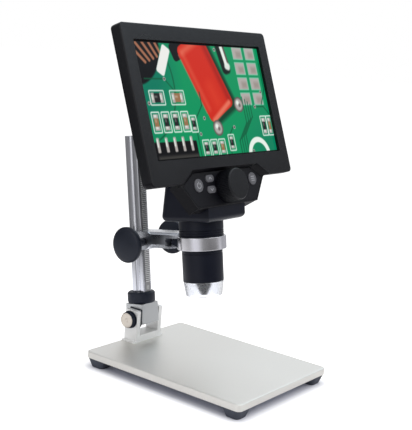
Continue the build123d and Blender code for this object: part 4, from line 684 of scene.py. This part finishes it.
# ---- rack knobs and what they turn
# Two black moulded knobs, each a wide disc with a softly domed face on a thin hub, are pressed on the ends
# of the steel pinion shaft. A small knurled screw in the window of the arm holds the barrel in the ring.
KNOB_R, KNOB_IN, KNOB_OUT, HUB_IN, HUB_R, HUB_ROOT_R, SHAFT_R = 14.5, 26.0, 31.0, 9.4, 4.6, 3.3, 2.0
KNOB_DRAFT, RIM_DROP, RIM_STEP, BORE_STOP = 0.2, 2.4, 0.6, 3.0
DOME_RISE, DOME_POWER, DOME_SHARE = 1.5, 2.4, 0.88
SCREW_Z, SCREW_R, SCREW_PIN_R, SCREW_FRONT, SCREW_BACK, SCREW_END = 63.5, 3.9, 1.45, 43.2, 38.6, 48.3
SCREW_KNURLS, SCREW_KNURL_DEEP, BOSS_R, BOSS_BACK = 30, 0.25, 2.7, 35.4
knob_black = finish(
    "knob_black", (0.007, 0.011, 0.023), 0.42, mottle=0.12, grain=(1600, 0.10), cloud=80, specular=0.35,
)
acetal = finish("white_acetal", (0.78, 0.78, 0.75), 0.40, grain=(900, 0.05))
drive = np.array(joints["drive_turn"]["pos_m"]) / MM
dome = [(KNOB_R * t, KNOB_OUT - DOME_RISE * t ** DOME_POWER) for t in np.linspace(DOME_SHARE, 0.0, 12)]
profile = np.vstack([
    rounded([
        (SHAFT_R, HUB_IN), (HUB_ROOT_R, HUB_IN), (HUB_R, KNOB_IN), (KNOB_R - KNOB_DRAFT, KNOB_IN),
        (KNOB_R, KNOB_OUT - RIM_DROP), (KNOB_R - RIM_STEP, KNOB_OUT - DOME_RISE),
    ], (0, 0.2, 1.5, 0.9, 0.8, 0.5), 5),
    dome, [(0, KNOB_OUT - BORE_STOP), (SHAFT_R, KNOB_OUT - BORE_STOP)],
])
for name, way in (("left", -1), ("right", 1)):
    knob = turned(
        name + "_knob", profile, drive, (way, 0, 0), knob_black, "focus_drive", count=144,
    )
    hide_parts("rack_knob_" + name)
dress(acetal, "glide_pad")
profile = rounded([
    (0, BOSS_BACK), (BOSS_R, BOSS_BACK), (BOSS_R, SCREW_BACK), (SCREW_R, SCREW_BACK), (SCREW_R, SCREW_FRONT),
    (SCREW_PIN_R, SCREW_FRONT), (SCREW_PIN_R, SCREW_END), (0, SCREW_END),
], (0, 0.4, 0.1, 0.4, 0.4, 0, 0.3, 0), 3)
ring_screw = turned(
    "ring_screw_knurled", profile, post_axes[0] + SCREW_Z * post_axes[3], -post_axes[2], knob_black,
    "ring_screw", count=240, ripple=knurled(SCREW_R, SCREW_KNURLS, SCREW_KNURL_DEEP),
)
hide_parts("ring_set_screw")

# ---- barrel
# A black moulded sleeve runs through the ring, its grooved collar rests on it. The clear acrylic tip
# spreads the light of eight white diodes, and a black cone shields the lens in its middle.
SLEEVE_R, SLEEVE_IN, SLEEVE_LOW, SLEEVE_TOP, NECK_R = 16.1, 13.7, 34.1, 78.0, 15.1
MARK_LOW, MARK_TOP, MARK_DEEP, MARK_SLOPE = 56.2, 57.1, 0.35, 0.2
LEDGE_R, LEDGE_LOW, LEDGE_TOP = 12.3, 39.2, 40.6
UPPER_R, UPPER_TOP, UPPER_LOW, GROOVES_AT = 17.6, 82.4, 69.7, (71.2, 73.0, 74.8)
GROOVE_SHAPE = ((-0.4, 0), (-0.2, 0.5), (0.2, 0.5), (0.4, 0))  # (height, depth) across a groove
TIP_R, TIP_LOW, TIP_TOP, TIP_WALL, TIP_NECK_WALL, TIP_STEP = 14.4, 22.8, 36.2, 1.5, 1.1, 0.15
barrel_black = finish(
    "barrel_black", (0.0025, 0.004, 0.012), 0.34, mottle=0.10, grain=(1500, 0.10), cloud=50, specular=0.24,
)


def on_barrel(name, outline, material, node_name):
    """Turned piece about the barrel's axis that stands for a CAD node."""
    made = turned(name, outline, barrel_axes[0], barrel_axes[3], material, "head", count=128)
    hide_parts(node_name)


on_barrel("sleeve", rounded([
    (SLEEVE_IN, SLEEVE_LOW), (SLEEVE_R, SLEEVE_LOW), (SLEEVE_R, MARK_LOW),
    (SLEEVE_R - MARK_DEEP, MARK_LOW + MARK_SLOPE), (SLEEVE_R - MARK_DEEP, MARK_TOP - MARK_SLOPE),
    (SLEEVE_R, MARK_TOP), (SLEEVE_R, UPPER_LOW), (NECK_R, UPPER_LOW), (NECK_R, SLEEVE_TOP),
    (SLEEVE_IN, SLEEVE_TOP), (SLEEVE_IN, LEDGE_TOP), (LEDGE_R, LEDGE_TOP), (LEDGE_R, LEDGE_LOW),
    (SLEEVE_IN, LEDGE_LOW),
], (0.2, 0.5, *[0.1] * 4, 0.2, 0, 0.2, 0.2, *[0] * 4), 3), barrel_black, "barrel_sleeve")
profile = [(NECK_R, UPPER_LOW), (UPPER_R, UPPER_LOW)]
profile += [(UPPER_R - deep, z + rise) for z in GROOVES_AT for rise, deep in GROOVE_SHAPE]
profile = rounded(
    profile + [(UPPER_R, UPPER_TOP), (NECK_R, UPPER_TOP)], (0, 0.4, *(0.15, 0.1, 0.1, 0.15) * 3, 0.4, 0), 3,
)
on_barrel("grip_collar", profile, barrel_black, "barrel_collar")
cone_black = finish("cone_black", (0.010, 0.012, 0.018), 0.55, mottle=0.1, grain=(1000, 0.1))
dress(cone_black, "nose_cone", "lens_guide", "lens_carrier")


def clear(name, tint, roughness, ior=1.49):
    """Clear plastic or glass, its surface a little uneven from moulding."""
    made = finish(name, tint, roughness, mottle=0.0, grain=(250, 0.02), cloud=60, spread=roughness * 0.6)
    shader = made.node_tree.nodes["Principled BSDF"]
    shader.inputs["Transmission Weight"].default_value = 1.0
    shader.inputs["IOR"].default_value = ior
    return made


acrylic = clear("clear_acrylic", (0.90, 0.91, 0.92), 0.24)
on_barrel("acrylic_tip", rounded([
    (TIP_R - TIP_WALL, TIP_LOW), (TIP_R, TIP_LOW), (SLEEVE_R - TIP_STEP, SLEEVE_LOW),
    (SLEEVE_IN, SLEEVE_LOW), (SLEEVE_IN, TIP_TOP), (SLEEVE_IN - TIP_NECK_WALL, TIP_TOP),
    (SLEEVE_IN - TIP_NECK_WALL, SLEEVE_LOW - 1.0),
], (0.4, 0.6, 0.1, 0, 0.2, 0.2, 0.5), 4), acrylic, "clear_tip")
dress(clear("coated_glass", (0.90, 0.95, 0.98), 0.02, 1.52), "front_window", "objective_lens", "relay_lens")
bronze = finish("sintered_bronze", (0.45, 0.27, 0.12), 0.45, metallic=1, grain=(1800, 0.4), cloud=400)
dress(bronze, "lens_pinion")
green_mask = finish("green_solder_mask", (0.01, 0.16, 0.06), 0.30, grain=(600, 0.1))
dress(green_mask, "lamp_board", "sensor_board", "port_board", "button_board", "main_board")
diode = finish("diode_epoxy", (0.90, 0.88, 0.74), 0.22, grain=(500, 0.02))
dress(diode, "lamp_leds")

# ---- camera body
# A moulded black shell behind the chin, its edges softly rounded. The charging socket and the card slot
# are stamped, tin-plated shells behind openings in its right wall.
softened("camera_body", 0.7, barrel_black, "head", 3)
dress(zinc, "charge_socket", "card_slot")
chip = finish("chip_black", (0.02, 0.02, 0.025), 0.25, grain=(400, 0.02))
dress(chip, "image_sensor")

# ---- screen housing
# Front bezel and rear cover are moulded in black plastic with a fine spark-eroded grain; the chin below
# the screen carries a sunk panel of the same plastic, a little smoother.
grained = finish("grained_black", (0.004, 0.0045, 0.007), 0.34, grain=(2600, 0.30), cloud=30, specular=0.30)
smoother = finish("panel_black", (0.003, 0.003, 0.006), 0.40, grain=(2000, 0.15), cloud=40, specular=0.24)
bezel = softened("front_bezel", 0.3, grained, "head")
softened("rear_cover", 0.3, grained, "head")
# Below the frame of the screen the bezel runs down to a chin, whose sloping cheeks get a darker, less shiny
# copy of the bezel's black as painted shade: its faces lower than CHEEK_TOP above the wheel that don't face
# straight to the front or back.
CHEEK_TOP, STRAIGHT = 14.0, 0.9
screen_back = -np.array(joints["focus_wheel_turn"]["axis"])
screen_up = np.cross((1.0, 0, 0), screen_back)
wheel_at = np.array(joints["focus_wheel_turn"]["pos_m"]) / MM
cheek_shaded_black = finish("cheek_shaded_black", (0.003, 0.003, 0.005), 0.50, grain=(2600, 0.20), specular=0.12)
bezel.data.materials.append(cheek_shaded_black)
centres, normals = np.empty((2, 3 * len(bezel.data.polygons)))
bezel.data.polygons.foreach_get("center", centres)
bezel.data.polygons.foreach_get("normal", normals)
above_wheel = (centres.reshape(-1, 3) / MM - wheel_at) @ screen_up
cheeks = (above_wheel < CHEEK_TOP) & (np.abs(normals.reshape(-1, 3) @ screen_back) < STRAIGHT)
bezel.data.polygons.foreach_set("material_index", cheeks.astype(np.int32))
dress(smoother, "control_fascia")
foil = finish("black_pouch_foil", (0.03, 0.03, 0.035), 0.35, grain=(300, 0.3))
dress(foil, "battery")

# ---- focus wheel
# A deep moulded drum with fine straight grips round it and a flat face with a soft rim. Turning it moves
# the lens carrier in the barrel.
WHEEL_R, WHEEL_FRONT, WHEEL_BACK, WHEEL_SHAFT_R = 12.4, 8.6, -4.2, 2.0
WHEEL_EDGE, BORE_END, GRIPS, GRIP_DEEP = 0.9, 1.8, 60, 0.3
profile = rounded([
    (WHEEL_SHAFT_R, WHEEL_BACK), (WHEEL_R, WHEEL_BACK), (WHEEL_R, WHEEL_FRONT - WHEEL_EDGE),
    (WHEEL_R - WHEEL_EDGE, WHEEL_FRONT), (0, WHEEL_FRONT), (0, BORE_END), (WHEEL_SHAFT_R, BORE_END),
], (0, 0.3, 0.5, 0.6, 0, 0, 0), 4)
wheel = turned(
    "grip_wheel", profile, wheel_at, -screen_back, grained, "wheel", count=600,
    ripple=knurled(WHEEL_R, GRIPS, GRIP_DEEP),
)
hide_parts("focus_wheel")

# ---- buttons
# Four keys moulded in grey plastic stand a little proud of the panel and spring back when pressed. Each
# carries a small printed sign in pale grey: power, up, down and menu.
WHEEL_V, FASCIA_DEPTH, KEY_PROUD, KEY_BACK, KEY_LIP, KEY_LIP_T = -67.3, 4.6, 1.0, 7.4, 0.8, 0.9
KEY_STEP, KEY_EDGE = 0.1, 0.45
PRINT_T, STROKE = 0.03, 0.62
screen_at = wheel_at - WHEEL_V * screen_up
key_grey = finish("key_grey", (0.12, 0.12, 0.135), 0.45, mottle=0.05, grain=(1500, 0.1))
print_grey = finish("print_grey", (0.42, 0.43, 0.46), 0.55, mottle=0.04, grain=(900, 0.05))


def slot_outline(width, height):
    """Outline with half-round ends: a circle where width equals height."""
    turn = np.linspace(-np.pi / 2, np.pi / 2, 17)
    end = np.column_stack([np.cos(turn), np.sin(turn)]) * height / 2
    if width == height:
        return np.vstack([end, -end[1:-1]])
    return np.vstack([end + ((width - height) / 2, 0), -end - ((width - height) / 2, 0)])


def stroke(points):
    """Outline of a line through the points, STROKE wide, with square ends and mitred corners.

    A corner's points stand STROKE / 2 / cos(half its turn) from it, across the mean of its two legs.
    """
    points = np.asarray(points, float)
    run = unit(np.gradient(points, axis=0))
    beside = np.column_stack([-run[:, 1], run[:, 0]])
    legs = unit(np.diff(points, axis=0))
    mitre = np.ones(len(points))
    mitre[1:-1] = 1 / np.sqrt((1 + np.sum(legs[1:] * legs[:-1], axis=1)) / 2)
    beside *= STROKE / 2 * mitre[:, None]
    return np.vstack([points + beside, (points - beside)[::-1]])


# Each key: its width and height, where its middle is on the screen's axes, and the lines of its sign.
ring_turn = np.radians(np.linspace(125, 415, 25))
open_ring = np.column_stack([np.cos(ring_turn), np.sin(ring_turn)]) * 2.2
KEYS = {
    "power": (10.0, 10.0, -33.0, -64.0, [open_ring, [(0, 0.6), (0, 2.9)]]),
    "up": (10.0, 5.4, -18.4, -59.7, [[(-1.6, -0.7), (0, 0.9), (1.6, -0.7)]]),
    "down": (10.0, 5.4, -18.4, -68.1, [[(-1.6, 0.7), (0, -0.9), (1.6, 0.7)]]),
    "menu": (10.0, 10.0, 36.4, -63.6, [[(-2.2, v), (2.2, v)] for v in (1.6, 0.0, -1.6)]),
}
for name, (width, height, x, v, lines) in KEYS.items():
    axes = (screen_at + (x, 0, 0) + v * screen_up, (1, 0, 0), screen_up, -screen_back)
    face = KEY_PROUD - FASCIA_DEPTH
    lip = KEY_LIP_T - KEY_BACK
    levels = [(-KEY_LIP, -KEY_BACK), (-KEY_LIP, lip), (0, lip)]
    levels += eased(lip + KEY_STEP, face, 0.0, KEY_EDGE)[1:]
    key = stacked(
        name + "_key", slot_outline(width, height), levels, axes, key_grey, name + "_key",
    )
    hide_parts(name + "_button")
    for number, line in enumerate(lines):
        stacked(
            f"{name}_sign_{number}", stroke(line), [(0, face - PRINT_T), (0, face + PRINT_T)], axes,
            print_grey, name + "_key",
        )

# ---- screen
# The panel is a glass sandwich behind the window, black round its lit area. It shows what the microscope
# sees: the corner of a printed circuit with a red capacitor, solder joints and small parts.
PANEL_W, PANEL_H, PANEL_T, PANEL_FRONT, PANEL_DROP = 164.9, 100.0, 3.9, 2.35, 1.5
LIT_W, LIT_H, GRID = 154.1, 85.9, 0.5
TRACK_W, HOLE_R, DARK_GLASS = 1.1, 1.5, 0.002
BOARD_GREEN, BOARD_SHADE, MASK_LINE, SILK = (4, 146, 92), (0, 112, 92), (2, 88, 56), (232, 240, 232)
TIN, TIN_DARK, CERAMIC, RESISTOR = (176, 170, 166), (96, 88, 84), (150, 112, 78), (34, 32, 34)
RED, RED_LIGHT, RED_SHADE, COPPER = (206, 42, 24), (232, 120, 96), (150, 22, 16), (188, 124, 92)
BLACK, BORDER = (12, 12, 14), (7, 8, 9)


def slab(x, y, width, height, radius, turn=0.0):
    """Signed distance from a box with rounded corners about (x, y), turned by turn degrees."""
    a = np.radians(turn)
    u, v = grid_u - x, grid_v - y
    across, along = np.abs(u * np.cos(a) + v * np.sin(a)), np.abs(v * np.cos(a) - u * np.sin(a))
    over, beside = across - width / 2 + radius, along - height / 2 + radius
    outside = np.hypot(np.maximum(over, 0), np.maximum(beside, 0))
    return outside + np.minimum(np.maximum(over, beside), 0) - radius


def disc(x, y, radius):
    """Signed distance from a circle."""
    return np.hypot(grid_u - x, grid_v - y) - radius


def paint(distance, colour, strength=1.0, soft=0.35):
    """Lay a colour over the picture where the signed distance is negative, with a soft edge."""
    cover = strength * np.clip(0.5 - distance / (2 * soft), 0, 1)[..., None]
    picture[:] = picture * (1 - cover) + np.array(colour) * cover


def track(points):
    """Conductor through the points: a slab with round ends along each leg."""
    for (x0, y0), (x1, y1) in zip(points, points[1:]):
        turn, length = np.degrees(np.arctan2(y1 - y0, x1 - x0)), np.hypot(x1 - x0, y1 - y0) + TRACK_W
        paint(slab((x0 + x1) / 2, (y0 + y1) / 2, length, TRACK_W, TRACK_W / 2, turn), MASK_LINE, 0.85)


def chip_part(x, y, width, height, body):
    """Small part: two tin ends, each with a glint, and a body between them, in a printed white outline."""
    lying = width > height
    apart = (width * 0.36, 0) if lying else (0, height * 0.36)
    size = (width * 0.28, height) if lying else (width, height * 0.28)
    for way in (-1, 1):
        end_x, end_y = x + way * apart[0], y + way * apart[1]
        paint(slab(end_x, end_y, *size, 0.5), TIN)
        paint(slab(end_x - 0.5, end_y + 0.4, size[0] * 0.5, size[1] * 0.5, 0.3), SILK, 0.7)
    size = (width * 0.5, height * 0.9) if lying else (width * 0.9, height * 0.5)
    paint(slab(x, y, *size, 0.3), body)
    paint(slab(x - width * 0.1, y + height * 0.1, width * 0.25, height * 0.2, 0.3), SILK, 0.35, 0.6)
    paint(np.abs(slab(x, y, width + 3, height + 3, 0.6)) - 0.45, SILK)


columns, rows = int(PANEL_W / GRID) + 1, int(PANEL_H / GRID) + 1
grid_u, grid_v = np.meshgrid(
    np.linspace(-PANEL_W / 2, PANEL_W / 2, columns),
    np.linspace(-PANEL_H / 2, PANEL_H / 2, rows) - PANEL_DROP,
)
picture = np.ones((rows, columns, 3)) * BOARD_GREEN
paint(disc(-90, 24, 48), BOARD_SHADE, 0.8, 14)
paint(disc(74, -50, 34), BOARD_SHADE, 0.5, 18)
paint(np.abs(disc(-86, 14, 46)) - 0.7, MASK_LINE, 0.8)
# Coil with copper turns in the upper left corner, a white tab beside it.
paint(disc(-82, 44, 33), BLACK, 1, 0.8)
for k in range(5):
    paint(slab(-76 + 5.5 * k, 36 + 2.2 * k, 2.4, 26, 1, 48 - 5 * k), COPPER, 0.85)
paint(slab(-47, 30, 9, 24, 2, -32), (236, 236, 232))
paint(slab(-28, 38, 17, 14, 3, 20), BLACK)
# Red film capacitor with lighter ends, a shade along its right side, and its two solder joints.
paint(slab(4, 16, 38, 66, 5, 25), (6, 50, 34), 0.85, 1.8)
paint(slab(0, 18, 36, 64, 5, 25), RED)
paint(slab(14, 23, 5, 56, 2, 25), RED_SHADE, 0.7, 2.5)
paint(slab(-13, 14, 4, 50, 2, 25), RED_LIGHT, 0.35, 2)
paint(slab(-17.5, 12, 1, 50, 0.5, 25), RED_LIGHT, 0.7, 0.6)
paint(slab(6, 4, 9, 22, 4, 25), (224, 66, 40), 0.5, 5)
paint(slab(-12, 42, 30, 5, 2, 25), RED_LIGHT, 0.6, 2)
paint(slab(12, -9, 31, 4, 2, 31), RED_LIGHT, 0.9, 1.2)
for x, y in ((3, -22), (36, -4)):
    paint(disc(x, y, 6.2), TIN_DARK)
    paint(disc(x, y, 4.8), TIN, 1, 0.8)
    paint(disc(x - 1.2, y + 1.4, 1.8), SILK, 1, 0.7)
    paint(disc(x + 1, y - 0.6, 1.5), TIN_DARK, 0.8, 0.5)
# Tinned pads at the right, four by two, and a bright solder bead.
for x in (48, 65):
    for y in (38, 25.5, 13, 0.5):
        paint(slab(x, y, 13.5, 10.5, 0.4), SILK, 0.55)
        paint(slab(x, y, 12, 9, 0.4), TIN)
        paint(slab(x + 1.5, y - 1, 7, 5, 1), (150, 140, 132), 0.8, 1.5)
paint(slab(27, 34, 11, 27, 4, 12), BLACK, 0.9, 0.8)
paint(slab(29, 37, 6, 20, 3, 12), TIN_DARK)
paint(slab(28.5, 36, 3.5, 16, 1.7, 12), SILK)
paint(slab(31, 27, 7, 6, 2.5, -15), SILK, 0.95, 0.8)
# Conductors under the mask: a bundle that climbs, single tracks and plated holes.
for k in range(4):
    foot, rise = 28 + 3.2 * k, -33 + 1.6 * k
    track([(foot, -46), (foot, rise), (foot + 14, rise + 14), (foot + 14, 2 - 2.0 * k)])
track([(-72, 16), (-50, 16), (-42, 8)])
track([(-24, -44), (-24, -16), (-12, -4), (-12, 6)])
track([(58, -6), (70, -6), (77, -13)])
track([(14, -44), (14, -30), (22, -22), (24, -22)])
track([(76, 30), (76, 8), (68, -4)])
for x, y in (
    (-50, 16), (-12, -14), (24, -22), (58, -6), (-72, -2), (70, 6), (44, -42), (18, 40), (-20, -26),
):
    paint(disc(x, y, HOLE_R), TIN)
    paint(disc(x, y, HOLE_R * 0.45), BLACK)
# Small parts: two lying at the left, the others standing in rows below them and at the lower edge.
chip_part(-62, 2, 13, 7.5, RESISTOR)
chip_part(-39, 2, 13, 7.5, CERAMIC)
for x, body in ((-68, CERAMIC), (-57, RESISTOR), (-46, RESISTOR), (-35, CERAMIC)):
    chip_part(x, -16, 5.5, 12, body)
for x in (-16, -6, 4):
    chip_part(x, -37, 5.0, 9.5, RESISTOR if x < 0 else CERAMIC)
chip_part(-26, -18, 4.5, 9.5, RESISTOR)
chip_part(17, -34, 4.5, 9.5, RESISTOR)
chip_part(66, -22, 5, 13, RESISTOR)
chip_part(74, -22, 4, 13, CERAMIC)
# Leads of a chip in the lower left corner, a printed ring in the lower right.
paint(slab(-52, -38, 50, 15, 1), BLACK)
for k in range(5):
    paint(slab(-71 + 9.5 * k, -32.5, 3, 11, 0.8), TIN)
    paint(slab(-71.5 + 9.5 * k, -31, 1.3, 6, 0.5), SILK, 0.95)
paint(slab(-50, -42, 46, 3, 1), (72, 70, 66), 0.8, 1.2)
paint(np.abs(disc(52, -46, 13)) - 2.2, SILK)
picture[(np.abs(grid_u) > LIT_W / 2) | (np.abs(grid_v) > LIT_H / 2)] = BORDER
# The colours are sRGB values from 0 to 255; the mesh takes linear ones.
picture /= 255
linear = np.where(picture < 0.04045, picture / 12.92, ((picture + 0.055) / 1.055) ** 2.4)
front = screen_at + grid_u[..., None] * (1.0, 0, 0) + grid_v[..., None] * screen_up
front = front.reshape(-1, 3) + PANEL_FRONT * screen_back
index = np.arange(rows * columns).reshape(rows, columns)
rim = np.concatenate([index[0, :-1], index[:-1, -1], index[-1, :0:-1], index[:0:-1, 0]])
behind = front[rim] + PANEL_T * screen_back
after = len(front) + np.arange(len(rim))
faces = quads(rows, columns, wrap_columns=False)
faces += np.stack([rim, np.roll(rim, -1), np.roll(after, -1), after], -1).tolist() + [after.tolist()]
lit_glass = finish(
    "lit_panel_glass", (0.002, 0.002, 0.003), 0.14, mottle=0.05, grain=(300, 0.01), spread=0.04,
    specular=0.20,
)
tree = lit_glass.node_tree
shown = node(tree, "Attribute", attribute_name="picture").outputs["Color"]
tree.links.new(shown, tree.nodes["Principled BSDF"].inputs["Emission Color"])
tree.nodes["Principled BSDF"].inputs["Emission Strength"].default_value = 1.0
panel = piece(
    "glass_panel", np.vstack([front, behind]), faces, lit_glass, "head",
    colours=np.vstack([linear.reshape(-1, 3), np.full((len(rim), 3), DARK_GLASS)]),
)
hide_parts("lcd_panel")
